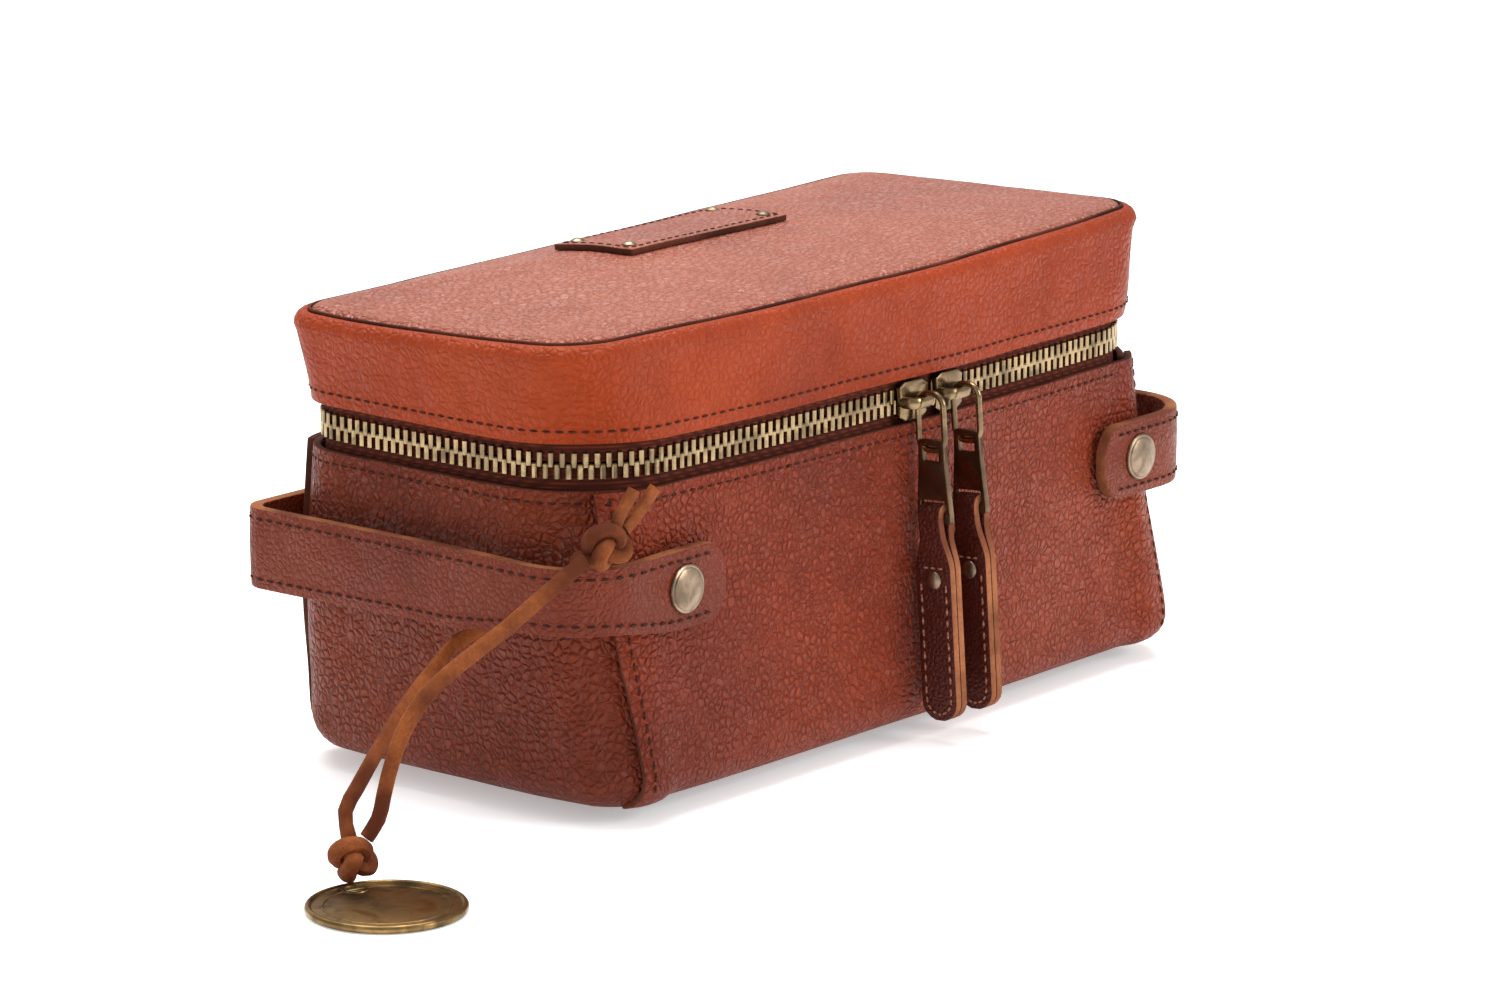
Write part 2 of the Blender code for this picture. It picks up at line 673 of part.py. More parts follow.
def ring_frame():
    """The ring's middle and its bottom bar's height, from the bridge bar's middle."""
    clear = BRIDGE_BAR + GAP + RING_WIRE
    return clear, clear - RING_WIDTH / 2, clear - RING_HEIGHT


def ring(name):
    clear, middle, bottom = ring_frame()
    loop = rounded_loop(RING_WIDTH, RING_HEIGHT, clear, 4, (middle, clear - RING_HEIGHT / 2))
    return tube("ring_" + name, [(0, y, z) for y, z in loop], RING_WIRE, BRASS, closed=True)


TURN_TO_YZ = Matrix(((0, 0, 1, 0), (1, 0, 0, 0), (0, 1, 0, 0), (0, 0, 0, 1)))
TURN_TO_XZ = Matrix(((1, 0, 0, 0), (0, 0, -1, 0), (0, 1, 0, 0), (0, 0, 0, 1)))
SLOT_BAR = 2.75 * MM           # the plate below its slot
SLOT_HEIGHT, SLOT_WIDTH = 3.4 * MM, 8.0 * MM
NECK_WIDTH = 7.0 * MM
KNUCKLE_LENGTH = 3.4 * MM


def pull_plate(name):
    """A flat plate across Y, rolled round the ring's bottom bar, with a slot for the leather."""
    neck = KNUCKLE_LENGTH / 2
    outline = [(-neck, 0), (neck, 0), (neck, -3 * MM), (4.3 * MM, -5 * MM),
               (5.5 * MM, -PLATE_LENGTH + 3 * MM), (4.2 * MM, -PLATE_LENGTH),
               (-4.2 * MM, -PLATE_LENGTH), (-5.5 * MM, -PLATE_LENGTH + 3 * MM),
               (-4.3 * MM, -5 * MM), (-neck, -3 * MM)]
    slot_z = -PLATE_LENGTH + SLOT_BAR + SLOT_HEIGHT / 2
    slot = rounded_loop(SLOT_WIDTH, SLOT_HEIGHT, 0.8 * MM, 2, (0, slot_z))
    plate = flat_outline("pull_plate_" + name, [outline, slot], PLATE_THICK, BRASS, TURN_TO_YZ)
    work = bmesh.new()
    bmesh.ops.create_cone(work, cap_ends=True, segments=16, radius1=2.2 * MM, radius2=2.2 * MM,
                          depth=KNUCKLE_LENGTH)
    work.transform(Matrix.Rotation(math.pi / 2, 4, "X"))
    knuckle = add_object("knuckle", mesh_from(work, "knuckle"), BRASS)
    join(plate, [knuckle])
    reach = 5 * MM
    bore = cylinder_cutter("ring_bore_" + name, RING_WIRE + 0.35 * MM, (0, -reach, 0), (0, reach, 0))
    apply_modifiers(cut(plate, bore))
    bpy.data.objects.remove(bore)
    return plate


def pull_strip(name):
    """Leather folded through the plate's slot, drawn from the middle of the plate's bottom bar."""
    skin = 1.6 * MM
    hole_x, hole_z = PLATE_THICK / 2 + 0.35 * MM, SLOT_BAR / 2 + 0.4 * MM
    shoulder = hole_z + 0.4 * MM
    outer = [(hole_x + skin, -5 * MM), (hole_x + skin, shoulder)]
    outer += [(hole_x + 0.4 * MM, hole_z + skin), (-hole_x - 0.4 * MM, hole_z + skin)]
    outer += [(-hole_x - skin, shoulder), (-hole_x - skin, -5 * MM)]
    inner = [(-hole_x, -hole_z), (hole_x, -hole_z), (hole_x, hole_z), (-hole_x, hole_z)]
    neck = flat_outline("pull_strip_" + name, [outer, inner], NECK_WIDTH, HIDE_PULL, TURN_TO_XZ)
    top = -3.2 * MM
    middle = (0, top - STRIP_LENGTH / 2)
    tab = flat_outline("tab", [rounded_loop(STRIP_WIDTH, STRIP_LENGTH, 4.5 * MM, 4, middle)],
                       STRIP_THICK, HIDE_PULL, TURN_TO_YZ)
    strip = join(neck, [tab])
    half = STRIP_THICK / 2 + GAP
    bore = cylinder_cutter("pull_rivet_bore_" + name, 1.3 * MM, (-4 * MM, 0, -PULL_RIVET_DROP),
                           (4 * MM, 0, -PULL_RIVET_DROP), 12)
    apply_modifiers(cut(strip, bore))
    bpy.data.objects.remove(bore)
    profile = [(0, half + 0.8 * MM), (1.8 * MM, half + 0.6 * MM), (2.5 * MM, half + 0.1 * MM),
               (2.5 * MM, half), (MM, half), (MM, -half), (2.5 * MM, -half),
               (2.5 * MM, -half - 0.1 * MM), (1.8 * MM, -half - 0.6 * MM), (0, -half - 0.8 * MM)]
    rivet = turned("pull_rivet_" + name, profile, 12, BRASS)
    rivet.location = (0, 0, -PULL_RIVET_DROP)
    rivet.rotation_euler = (0, math.pi / 2, 0)
    return strip, rivet


PULL_RIVET_DROP = 16.5 * MM


def pull(name, bag):
    """A slider and what hangs from it, on empties at the joints."""
    x = SLIDER_X[name]
    rim_y = RIM.point(x / (RIM.half_length - RIM.corner)).y
    bridge = pivot(f"slider_{name}_pivot", (x, rim_y - GAP - BRIDGE_OUT, ZIP_Z), bag)
    carry(bridge, slider(name))
    swing = pivot(f"ring_{name}_pivot", (0, 0, 0), bridge)
    swing.rotation_euler = (-math.radians(PULL_LEAN), 0, 0)
    _, middle, bottom = ring_frame()
    carry(swing, ring(name))
    hang = pivot(f"plate_{name}_pivot", (0, middle, bottom), swing)
    carry(hang, pull_plate(name))
    loop = pivot(f"strip_{name}_pivot", (0, 0, -PLATE_LENGTH + SLOT_BAR / 2), hang)
    carry(loop, *pull_strip(name))


# ---- lace and tag -------------------------------------------------------------------------
KNOT_ON_HANDLE = Vector((-124.2, -60.2, 76.4)) * MM
KNOT_ON_HANDLE_SIZE = Vector((7.5, 5.2, 6)) * MM
KNOT_ON_TAG = Vector((-197.8, -41.5, 9)) * MM
KNOT_ON_TAG_SIZE = Vector((6.4, 6.4, 5.4)) * MM
TAG_HOLE = Vector((-199, -42.9, 0)) * MM


def knot(name, middle, size):
    work = bmesh.new()
    bmesh.ops.create_uvsphere(work, u_segments=12, v_segments=8, radius=1.0)
    work.transform(Matrix.Translation(middle) @ Matrix.Diagonal((*size, 1)))
    return add_object(name, mesh_from(work, name), LACE)


def knot_surface(middle, size, towards):
    """The point just off a knot where a lace that comes from there meets it."""
    out = (Vector(towards) - middle).normalized()
    stretch = math.sqrt(sum((o / s) ** 2 for o, s in zip(out, size)))
    return middle + out * (1 / stretch + 2 * GAP)


def smooth_route(points, spacing):
    """Evenly spaced points on a smooth curve through a route's own points."""
    points = [Vector(p) for p in points]
    padded = [2 * points[0] - points[1]] + points + [2 * points[-1] - points[-2]]
    fine = []
    for a, b, c, d in zip(padded, padded[1:], padded[2:], padded[3:]):
        for i in range(20):
            t = i / 20
            fine.append(0.5 * (2 * b + (c - a) * t + (2 * a - 5 * b + 4 * c - d) * t * t
                               + (3 * b - 3 * c + d - a) * t ** 3))
    fine.append(points[-1])
    along = [0.0]
    for a, b in zip(fine, fine[1:]):
        along.append(along[-1] + (b - a).length)
    count = max(round(along[-1] / spacing), 3)
    even, at = [], 0
    for i in range(count + 1):
        goal = along[-1] * i / count
        while at < len(along) - 2 and along[at + 1] < goal:
            at += 1
        share = (goal - along[at]) / max(along[at + 1] - along[at], 1e-12)
        even.append(fine[at].lerp(fine[at + 1], min(share, 1.0)))
    return even


LACE_FRONT = ((-135, -58.7, 72), (-145, -56, 66), (-154.3, -53.5, 60.2), (-163.7, -51, 55.2),
              (-173, -48.5, 49.8), (-180.6, -47.2, 44), (-185.4, -46.4, 37.5),
              (-188.8, -46, 30.6), (-191.2, -46, 24.5), (-193.2, -46, 19))
LACE_BACK = ((-120.5, -48.5, 66), (-125, -39, 62), (-125, -28, 55), (-125.3, -17, 47.5),
             (-131, -14.5, 44.6), (-143, -19.3, 42.5), (-157, -25, 39.5), (-171, -31, 36),
             (-182, -35, 31), (-190, -36.5, 25), (-195.5, -37, 19.5))
LACE_TAILS = (((-120.5, -61.5, 84), (-117.5, -63.5, 90)), ((-114, -62, 83.5), (-109.5, -63.5, 89)))


def lace_and_tag():
    knot("lace_knot_handle", KNOT_ON_HANDLE, KNOT_ON_HANDLE_SIZE)
    knot("lace_knot_tag", KNOT_ON_TAG, KNOT_ON_TAG_SIZE)
    for name, route in (("front", LACE_FRONT), ("back", LACE_BACK)):
        route = [Vector(p) * MM for p in route]
        start = [knot_surface(KNOT_ON_HANDLE, KNOT_ON_HANDLE_SIZE, route[0])] if name == "front" else []
        end = knot_surface(KNOT_ON_TAG, KNOT_ON_TAG_SIZE, route[-1])
        tube("lace_" + name, smooth_route(start + route + [end], 7 * MM), LACE_RADIUS, LACE)
    for name, route in zip(("left", "right"), LACE_TAILS):
        route = [Vector(p) * MM for p in route]
        start = knot_surface(KNOT_ON_HANDLE, KNOT_ON_HANDLE_SIZE, route[0])
        tube("lace_tail_" + name, smooth_route([start] + route, 5 * MM), 1.5 * MM, LACE)
    profile = [(0, 1.5 * MM), (17.6 * MM, 1.5 * MM), (18.3 * MM, TAG_THICK),
               (19.6 * MM, TAG_THICK), (TAG_RADIUS, 1.8 * MM), (TAG_RADIUS, 0.3 * MM),
               (19.7 * MM, 0), (0, 0)]
    tag = turned("brass_tag", profile, 32, BRASS)
    tag.location = (*TAG_CENTRE, 0)
    hole = cylinder_cutter("tag_hole", 2.6 * MM, TAG_HOLE - Vector((0, 0, MM)),
                           TAG_HOLE + Vector((0, 0, 4 * MM)))
    cut(tag, hole)


# ---- build --------------------------------------------------------------------------------
for thing in list(bpy.data.objects):
    bpy.data.objects.remove(thing)

PARTS = collection("shaving_kit_bag")
CUTTERS = collection("cutters")
HIDE_BODY = material("leather_body", (0.30, 0.105, 0.055), 0.5)
HIDE_LID = material("leather_lid", (0.42, 0.145, 0.065), 0.45)
HIDE_PULL = material("leather_pull", (0.09, 0.02, 0.015), 0.5)
LACE = material("leather_lace", (0.36, 0.17, 0.08), 0.8)
BRASS = material("aged_brass", (0.33, 0.27, 0.17), 0.35, 1.0)
TAPE_CLOTH = material("zip_tape", (0.09, 0.035, 0.025), 0.9)
LINING = material("lining_cloth", (0.05, 0.045, 0.04), 0.9)
CARD = material("stiffener_board", (0.30, 0.25, 0.19), 0.9)

body_panels()
body_inside()
zip_halves()
feet()
lid()
patch()
handle("left", -1)
handle("right", 1)

bag = bpy.data.objects.new("bag", None)
PARTS.objects.link(bag)
bag.location = (0, CENTRE_Y, 0)
pull("left", bag)
pull("right", bag)
lace_and_tag()
for thing in list(PARTS.objects) + list(CUTTERS.objects):
    if thing.parent is None and thing is not bag:
        thing.parent = bag
bpy.context.view_layer.update()
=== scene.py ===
# %% [markdown]
# # A leather shaving kit bag
# The bag is a box of waxed leather with a lid that a zip runs round, a strap handle at each end,
# two zip pulls at the front and a brass disc on a lace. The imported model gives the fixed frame:
# its joints and sizes hold, and the pieces made here stand for its plain solids.

# %% Load the frame
import math

import bmesh
import bpy
from mathutils import Matrix, Vector, noise
from mathutils.bvhtree import BVHTree


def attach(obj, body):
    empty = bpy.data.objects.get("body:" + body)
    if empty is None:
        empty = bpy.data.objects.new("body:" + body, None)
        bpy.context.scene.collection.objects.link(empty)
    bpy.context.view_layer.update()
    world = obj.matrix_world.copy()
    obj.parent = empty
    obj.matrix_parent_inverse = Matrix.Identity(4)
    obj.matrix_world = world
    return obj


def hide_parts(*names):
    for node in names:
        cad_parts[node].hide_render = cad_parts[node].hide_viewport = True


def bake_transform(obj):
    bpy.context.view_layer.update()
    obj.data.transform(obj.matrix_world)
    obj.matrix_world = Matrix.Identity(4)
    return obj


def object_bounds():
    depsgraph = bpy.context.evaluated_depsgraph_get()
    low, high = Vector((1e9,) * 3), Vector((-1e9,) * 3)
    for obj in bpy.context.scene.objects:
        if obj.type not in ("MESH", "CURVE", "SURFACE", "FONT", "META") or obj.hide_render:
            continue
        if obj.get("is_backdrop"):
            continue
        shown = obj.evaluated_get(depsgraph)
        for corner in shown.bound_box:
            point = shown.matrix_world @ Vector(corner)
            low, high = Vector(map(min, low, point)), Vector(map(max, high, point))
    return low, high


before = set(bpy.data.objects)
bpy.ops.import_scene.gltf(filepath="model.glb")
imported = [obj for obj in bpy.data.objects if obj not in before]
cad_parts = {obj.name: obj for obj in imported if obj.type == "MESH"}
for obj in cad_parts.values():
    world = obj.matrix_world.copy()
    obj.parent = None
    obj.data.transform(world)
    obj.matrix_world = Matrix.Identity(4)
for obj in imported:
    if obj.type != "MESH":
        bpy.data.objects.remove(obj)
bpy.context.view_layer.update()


def plain_box():
    """The whole object's lowest and highest corners as plain lists."""
    return [[round(float(value), 5) for value in corner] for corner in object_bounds()]


# %% [markdown]
# ## Camera, light and floor
# A long lens from far off keeps the bag's edges nearly parallel. The light is one wide soft panel
# overhead with weaker ones at the front and left, over a pale floor, so the leather shows its
# grain in broad, gentle highlights.

# %% Camera
MM = 0.001
CENTRE_Y = 6.3                  # the bag's middle plane, in millimetres
AZIMUTH, ELEVATION = math.radians(-50.5), math.radians(13.25)
AIM_RIGHT, AIM_UP = 0.003, 0.055   # the view's middle, from the middle of the bag's foot
DISTANCE, SENSOR, FOCAL = 1.65, 36, 145.08   # metres, then millimetres
right = Vector((math.cos(AZIMUTH), math.sin(AZIMUTH), 0))
back = Vector((math.sin(AZIMUTH) * math.cos(ELEVATION), -math.cos(AZIMUTH) * math.cos(ELEVATION),
               math.sin(ELEVATION)))
up = back.cross(right)
target = AIM_RIGHT * right + AIM_UP * up + Vector((0, CENTRE_Y * MM, 0))
lens = bpy.data.cameras.new("camera")
lens.sensor_width, lens.lens = SENSOR, FOCAL
camera = bpy.data.objects.new("camera", lens)
bpy.context.scene.collection.objects.link(camera)
turned_axes = Matrix((right, up, back)).transposed().to_4x4()
camera.matrix_world = Matrix.Translation(target + DISTANCE * back) @ turned_axes
bpy.context.scene.camera = camera
bpy.context.scene.view_settings.view_transform = "Standard"
print("camera at", tuple(round(v, 3) for v in camera.matrix_world.translation))


# %% Lights and world
def soft_panel(name, place, size, watts, look_at=(0, 0, 0.06)):
    """A square area light that faces a point."""
    panel = bpy.data.lights.new(name, "AREA")
    panel.size, panel.energy = size, watts
    lamp = bpy.data.objects.new(name, panel)
    bpy.context.scene.collection.objects.link(lamp)
    lamp.location = place
    lamp.rotation_euler = (Vector(place) - Vector(look_at)).to_track_quat("Z", "Y").to_euler()


soft_panel("top_panel", (0.10, 0.25, 1.25), 1.1, 23)
soft_panel("front_panel_light", (0.55, -1.45, 0.75), 0.8, 14)
soft_panel("left_panel", (-1.4, 0.15, 0.55), 0.7, 1.5)
world = bpy.data.worlds.new("studio")
bpy.context.scene.world = world
world.use_nodes = True
world.node_tree.nodes["Background"].inputs["Color"].default_value = (1, 1, 1, 1)
world.node_tree.nodes["Background"].inputs["Strength"].default_value = 0.6

# %% [markdown]
# ## Ways of making
# A piece is shaped in millimetres about the bag's middle and put in place once, in its mesh. Most
# of them are a grid whose points are laid where the leather lies. A thickness and rounded
# edges come from modifiers, which stay easy to change.

# %% Making a piece
PLACE = Matrix.Translation((0, CENTRE_Y * MM, 0)) @ Matrix.Scale(MM, 4)


def piece(name, work, finishes, body, replaces=(), sharp=40):
    """Turns a bmesh into an object that rides on a body."""
    work.transform(PLACE)
    mesh = bpy.data.meshes.new(name)
    work.to_mesh(mesh)
    work.free()
    mesh.shade_smooth()
    mesh.set_sharp_from_angle(angle=math.radians(sharp))
    for finish in finishes:
        mesh.materials.append(finish)
    made = bpy.data.objects.new(name + "_piece" if replaces else name, mesh)
    bpy.context.scene.collection.objects.link(made)
    if body:
        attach(made, body)
    if replaces:
        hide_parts(*replaces)
    print(f"{name}: {len(mesh.polygons)} faces on {body}")
    return made


def thicken(made, thickness, edge, offset=-1.0):
    """Gives a sheet its thickness, a raw edge in the second finish and rounded corners."""
    wall = made.modifiers.new("Thickness", "SOLIDIFY")
    wall.thickness, wall.offset = thickness * MM, offset
    wall.use_even_offset = True
    wall.material_offset_rim = 1 if len(made.data.materials) > 1 else 0
    soft = made.modifiers.new("Edges", "BEVEL")
    soft.width, soft.segments = edge * MM, 2
    soft.limit_method, soft.angle_limit = "ANGLE", math.radians(50)
    return made


def shaped_grid(columns, rows, place):
    """A grid whose points are moved to place(column, row)."""
    work = bmesh.new()
    bmesh.ops.create_grid(work, x_segments=columns, y_segments=rows, size=0.5)
    for vert in work.verts:
        vert.co = place(round((vert.co.x + 0.5) * columns), round((vert.co.y + 0.5) * rows))
    bmesh.ops.remove_doubles(work, verts=work.verts, dist=0.002)
    return work


def face_away(work, middle=(0, 0, 60)):
    """Makes the faces agree and point away from a place inside."""
    bmesh.ops.recalc_face_normals(work, faces=work.faces)
    out = sum((f.calc_center_median() - Vector(middle)).dot(f.normal) * f.calc_area()
              for f in work.faces)
    if out < 0:
        bmesh.ops.reverse_faces(work, faces=work.faces)
    return work


def ease(value, start, end):
    """0 before start, 1 after end, and a smooth step between."""
    share = min(max((value - start) / (end - start), 0.0), 1.0)
    return share * share * (3 - 2 * share)


# %% Smooth routes and swept sections
def even_route(points, count):
    """Evenly spaced points on a smooth curve through a route's own points."""
    points = [Vector(p) for p in points]
    padded = [2 * points[0] - points[1]] + points + [2 * points[-1] - points[-2]]
    fine = []
    for a, b, c, d in zip(padded, padded[1:], padded[2:], padded[3:]):
        for i in range(16):
            t = i / 16
            fine.append(0.5 * (2 * b + (c - a) * t + (2 * a - 5 * b + 4 * c - d) * t * t
                               + (3 * b - 3 * c + d - a) * t ** 3))
    return spaced(fine + [points[-1]], count)


def spaced(fine, count):
    """The same line with its points an equal distance apart."""
    along = [0.0]
    for a, b in zip(fine, fine[1:]):
        along.append(along[-1] + (b - a).length)
    even, at = [], 0
    for i in range(count + 1):
        goal = along[-1] * i / count
        while at < len(along) - 2 and along[at + 1] < goal:
            at += 1
        share = (goal - along[at]) / max(along[at + 1] - along[at], 1e-9)
        even.append(fine[at].lerp(fine[at + 1], min(share, 1.0)))
    return even


def sweep(points, half_wide, half_deep, side, closed=False, sides=12, square=1.0):
    """A lace or wire: a section carried along points. side is the way its width faces."""
    work = bmesh.new()
    rings, last = [], len(points)
    for i, p in enumerate(points):
        ahead = points[(i + 1) % last] if closed else points[min(i + 1, last - 1)]
        behind = points[i - 1] if closed or i else points[0]
        along = (ahead - behind).normalized()
        wide = Vector(side) - along * along.dot(Vector(side))
        wide.normalize()
        deep = along.cross(wide)
        ring = []
        for k in range(sides):
            angle = 2 * math.pi * k / sides
            c, s = math.cos(angle), math.sin(angle)
            c = math.copysign(abs(c) ** square, c)
            s = math.copysign(abs(s) ** square, s)
            ring.append(work.verts.new(p + wide * half_wide * c + deep * half_deep * s))
        rings.append([work.edges.new((a, b)) for a, b in zip(ring, ring[1:] + ring[:1])])
    pairs = list(zip(rings, rings[1:])) + ([(rings[-1], rings[0])] if closed else [])
    for a, b in pairs:
        bmesh.ops.bridge_loops(work, edges=a + b)
    if not closed:
        for ends in (rings[0], rings[-1]):
            bmesh.ops.edgeloop_fill(work, edges=ends)
    bmesh.ops.recalc_face_normals(work, faces=work.faces)
    return work


def join_meshes(works):
    """Several bmeshes as one."""
    whole = bmesh.new()
    for work in works:
        mesh = bpy.data.meshes.new("joined")
        work.to_mesh(mesh)
        work.free()
        whole.from_mesh(mesh)
        bpy.data.meshes.remove(mesh)
    return whole


def turned(profile, steps=48):
    """A round piece from (radius, height) points, spun about Z."""
    work = bmesh.new()
    verts = [work.verts.new((r, 0, z)) for r, z in profile]
    edges = [work.edges.new(pair) for pair in zip(verts, verts[1:])]
    bmesh.ops.spin(work, geom=verts + edges, cent=(0, 0, 0), axis=(0, 0, 1),
                   angle=2 * math.pi, steps=steps, use_merge=True)
    bmesh.ops.remove_doubles(work, verts=work.verts, dist=0.002)
    bmesh.ops.recalc_face_normals(work, faces=work.faces)
    return work


# %% [markdown]
# ## Finishes
# Waxed leather is a pebbled skin: small cells whose valleys are darkened as painted shade, broad
# cloudy colour, paler scuffs and a soft shine that breaks up. The cells are a Voronoi pattern about
# two millimetres wide, noise bends them, and both feed the bump. Its cut edges are a paler, matt
# fibre.
# Brass is a metal whose colour and roughness change with the tarnish. Cloth gets a twill from
# two wave patterns.

# %% Node helpers
def new_material(name, roughness, metallic=0.0):
    made = bpy.data.materials.new(name)
    made.use_nodes = True
    shader = made.node_tree.nodes["Principled BSDF"]
    shader.inputs["Roughness"].default_value = roughness
    shader.inputs["Metallic"].default_value = metallic
    return made, made.node_tree, shader


def node(tree, kind, links=(), **values):
    """A node with its settings, and its inputs set or linked."""
    made = tree.nodes.new("ShaderNode" + kind)
    for key, value in values.items():
        setattr(made, key, value)
    for socket, value in dict(links).items():
        if hasattr(value, "links"):
            tree.links.new(value, made.inputs[socket])
        else:
            made.inputs[socket].default_value = value
    return made


def place_of(tree):
    return node(tree, "TexCoord").outputs["Object"]


def noise_at(tree, place, scale, detail=4.0, distortion=0.0):
    return node(tree, "TexNoise", {"Vector": place, "Scale": scale, "Detail": detail,
                                   "Distortion": distortion}).outputs["Fac"]


def ramp(tree, fac, stops):
    """A colour ramp from (position, colour) stops."""
    made = node(tree, "ValToRGB", {"Fac": fac})
    elements = made.color_ramp.elements
    while len(elements) < len(stops):
        elements.new(0.5)
    for element, (position, colour) in zip(elements, stops):
        element.position = position
        element.color = (*colour, 1) if len(colour) == 3 else colour
    return made.outputs["Color"]


def blend_colours(tree, fac, a, b, how="MIX"):
    made = node(tree, "Mix", data_type="RGBA", blend_type=how)
    for index, value in ((0, fac), (6, a), (7, b)):
        if hasattr(value, "links"):
            tree.links.new(value, made.inputs[index])
        elif index:
            made.inputs[index].default_value = (*value, 1)
        else:
            made.inputs[index].default_value = value
    return made.outputs[2]


def to_range(tree, value, low, high, new_low, new_high):
    return node(tree, "MapRange", {"Value": value, "From Min": low, "From Max": high,
                                   "To Min": new_low, "To Max": new_high}).outputs["Result"]


def add_bump(tree, shader, heights):
    """Bumps one upon another from (height, strength, distance)."""
    normal = None
    for height, strength, distance in heights:
        links = {"Height": height, "Strength": strength, "Distance": distance}
        if normal:
            links["Normal"] = normal
        normal = node(tree, "Bump", links).outputs["Normal"]
    tree.links.new(normal, shader.inputs["Normal"])


# %% Leather
def leather(name, colour, deep, pale, cell=470.0, rough=(0.40, 0.60), grain=0.9, sheen=0.0,
            shine_level=0.24, valley_shade_amount=0.75):
    made, tree, shader = new_material(name, 0.45)
    place = place_of(tree)
    # noise bends the cells, so that no two pebbles are alike
    bend = node(tree, "TexNoise", {"Vector": place, "Scale": 160.0, "Detail": 3.0})
    bent = node(tree, "VectorMath", {0: bend.outputs["Color"], 1: (0.0022, 0.0022, 0.0022)},
                operation="MULTIPLY").outputs["Vector"]
    bent = node(tree, "VectorMath", {0: place, 1: bent}, operation="ADD").outputs["Vector"]
    cells = node(tree, "TexVoronoi", {"Vector": bent, "Scale": cell}, feature="DISTANCE_TO_EDGE")
    # painted shade in the valleys between cells, stronger in some places than in others
    depth = to_range(tree, noise_at(tree, place, 60.0, 3.0), 0.35, 0.65, 0.45, 1.0)
    valley_shade = to_range(tree, cells.outputs["Distance"], 0.0, 0.11, 1.0, 0.0)
    valley_shade = node(tree, "Math", {0: valley_shade, 1: depth}, operation="MULTIPLY").outputs[0]
    clouds = noise_at(tree, place, 13.0, 4.0, 0.4)
    mottle = noise_at(tree, place, 95.0, 5.0, 0.4)
    scuffs = noise_at(tree, place, 48.0, 9.0, 1.6)
    fine = noise_at(tree, place, 1900.0, 3.0)
    # broad clouds of colour, then mottling, pale scuffs and painted shade in the valleys
    base = ramp(tree, clouds, ((0.12, deep), (0.5, colour), (0.95, pale)))
    base = blend_colours(tree, to_range(tree, mottle, 0.5, 0.75, 0.0, 0.2), base, deep)
    base = blend_colours(tree, to_range(tree, scuffs, 0.64, 0.78, 0.0, 0.2), base, pale)
    base = blend_colours(tree, to_range(tree, valley_shade, 0.2, 1.0, 0.0, valley_shade_amount), base, deep)
    tree.links.new(base, shader.inputs["Base Color"])
    shine = to_range(tree, mottle, 0.35, 0.7, rough[0], rough[1])
    tree.links.new(shine, shader.inputs["Roughness"])
    shader.inputs["Specular IOR Level"].default_value = shine_level
    if sheen:
        shader.inputs["Sheen Weight"].default_value = sheen
        shader.inputs["Sheen Roughness"].default_value = 0.4
        shader.inputs["Sheen Tint"].default_value = (1.0, 0.75, 0.65, 1)
    # wide creases, then the pebbles, then pores
    pebble = to_range(tree, cells.outputs["Distance"], 0.0, 0.3, 0.0, 1.0)
    creases = to_range(tree, scuffs, 0.4, 0.6, 0.0, 1.0)
    add_bump(tree, shader, ((creases, 0.35, 0.0008), (pebble, grain, 0.0009), (fine, 0.2, 0.0001)))
    return made


def raw_edge(name, colour, deep):
    """Cut leather: matt fibres, with darker burnished stretches."""
    made, tree, shader = new_material(name, 0.8)
    shader.inputs["Specular IOR Level"].default_value = 0.15
    place = place_of(tree)
    fibres = noise_at(tree, place, 900.0, 5.0, 1.0)
    stain = noise_at(tree, place, 60.0, 4.0)
    base = blend_colours(tree, to_range(tree, stain, 0.4, 0.62, 0.0, 1.0), colour, deep)
    base = blend_colours(tree, to_range(tree, fibres, 0.35, 0.7, 0.0, 0.5), base, deep)
    tree.links.new(base, shader.inputs["Base Color"])
    add_bump(tree, shader, ((fibres, 0.6, 0.0003),))
    return made


HIDE_BODY = leather("leather_body", (0.225, 0.027, 0.005), (0.085, 0.008, 0.002),
                    (0.29, 0.050, 0.013))
# the ends and the base: a darker copy of the body's leather, painted shade for faces turned from
# the light
HIDE_END_PAINTED_SHADE = leather("leather_end_painted_shade", (0.17, 0.021, 0.003), (0.065, 0.006, 0.001), (0.25, 0.045, 0.010))
HIDE_BAND = leather("leather_band", (0.29, 0.033, 0.003), (0.12, 0.010, 0.001),
                    (0.38, 0.055, 0.007), rough=(0.40, 0.56), grain=0.45, shine_level=0.16,
                    valley_shade_amount=0.4)
# the lid's top and its patch: a lighter, pinker copy of the leather, its colour holding painted
# sheen from the overhead light
HIDE_LID_PAINTED_SHEEN = leather("leather_lid", (0.31, 0.065, 0.026), (0.16, 0.022, 0.008), (0.40, 0.105, 0.05),
                   rough=(0.34, 0.50), sheen=0.12, shine_level=0.5, grain=0.7, valley_shade_amount=0.4)
HIDE_HANDLE = leather("leather_handle", (0.155, 0.020, 0.004), (0.065, 0.006, 0.001),
                      (0.23, 0.042, 0.012), cell=560.0, grain=0.5)
HIDE_PULL = leather("leather_pull", (0.060, 0.008, 0.004), (0.028, 0.004, 0.002),
                    (0.12, 0.022, 0.012), cell=700.0, rough=(0.34, 0.5), grain=0.35)
EDGE_DARK = raw_edge("leather_edge_dark", (0.12, 0.035, 0.018), (0.05, 0.014, 0.008))
EDGE_TAN = raw_edge("leather_edge_tan", (0.34, 0.125, 0.05), (0.13, 0.035, 0.014))
SUEDE = raw_edge("leather_lace", (0.29, 0.080, 0.020), (0.085, 0.018, 0.005))


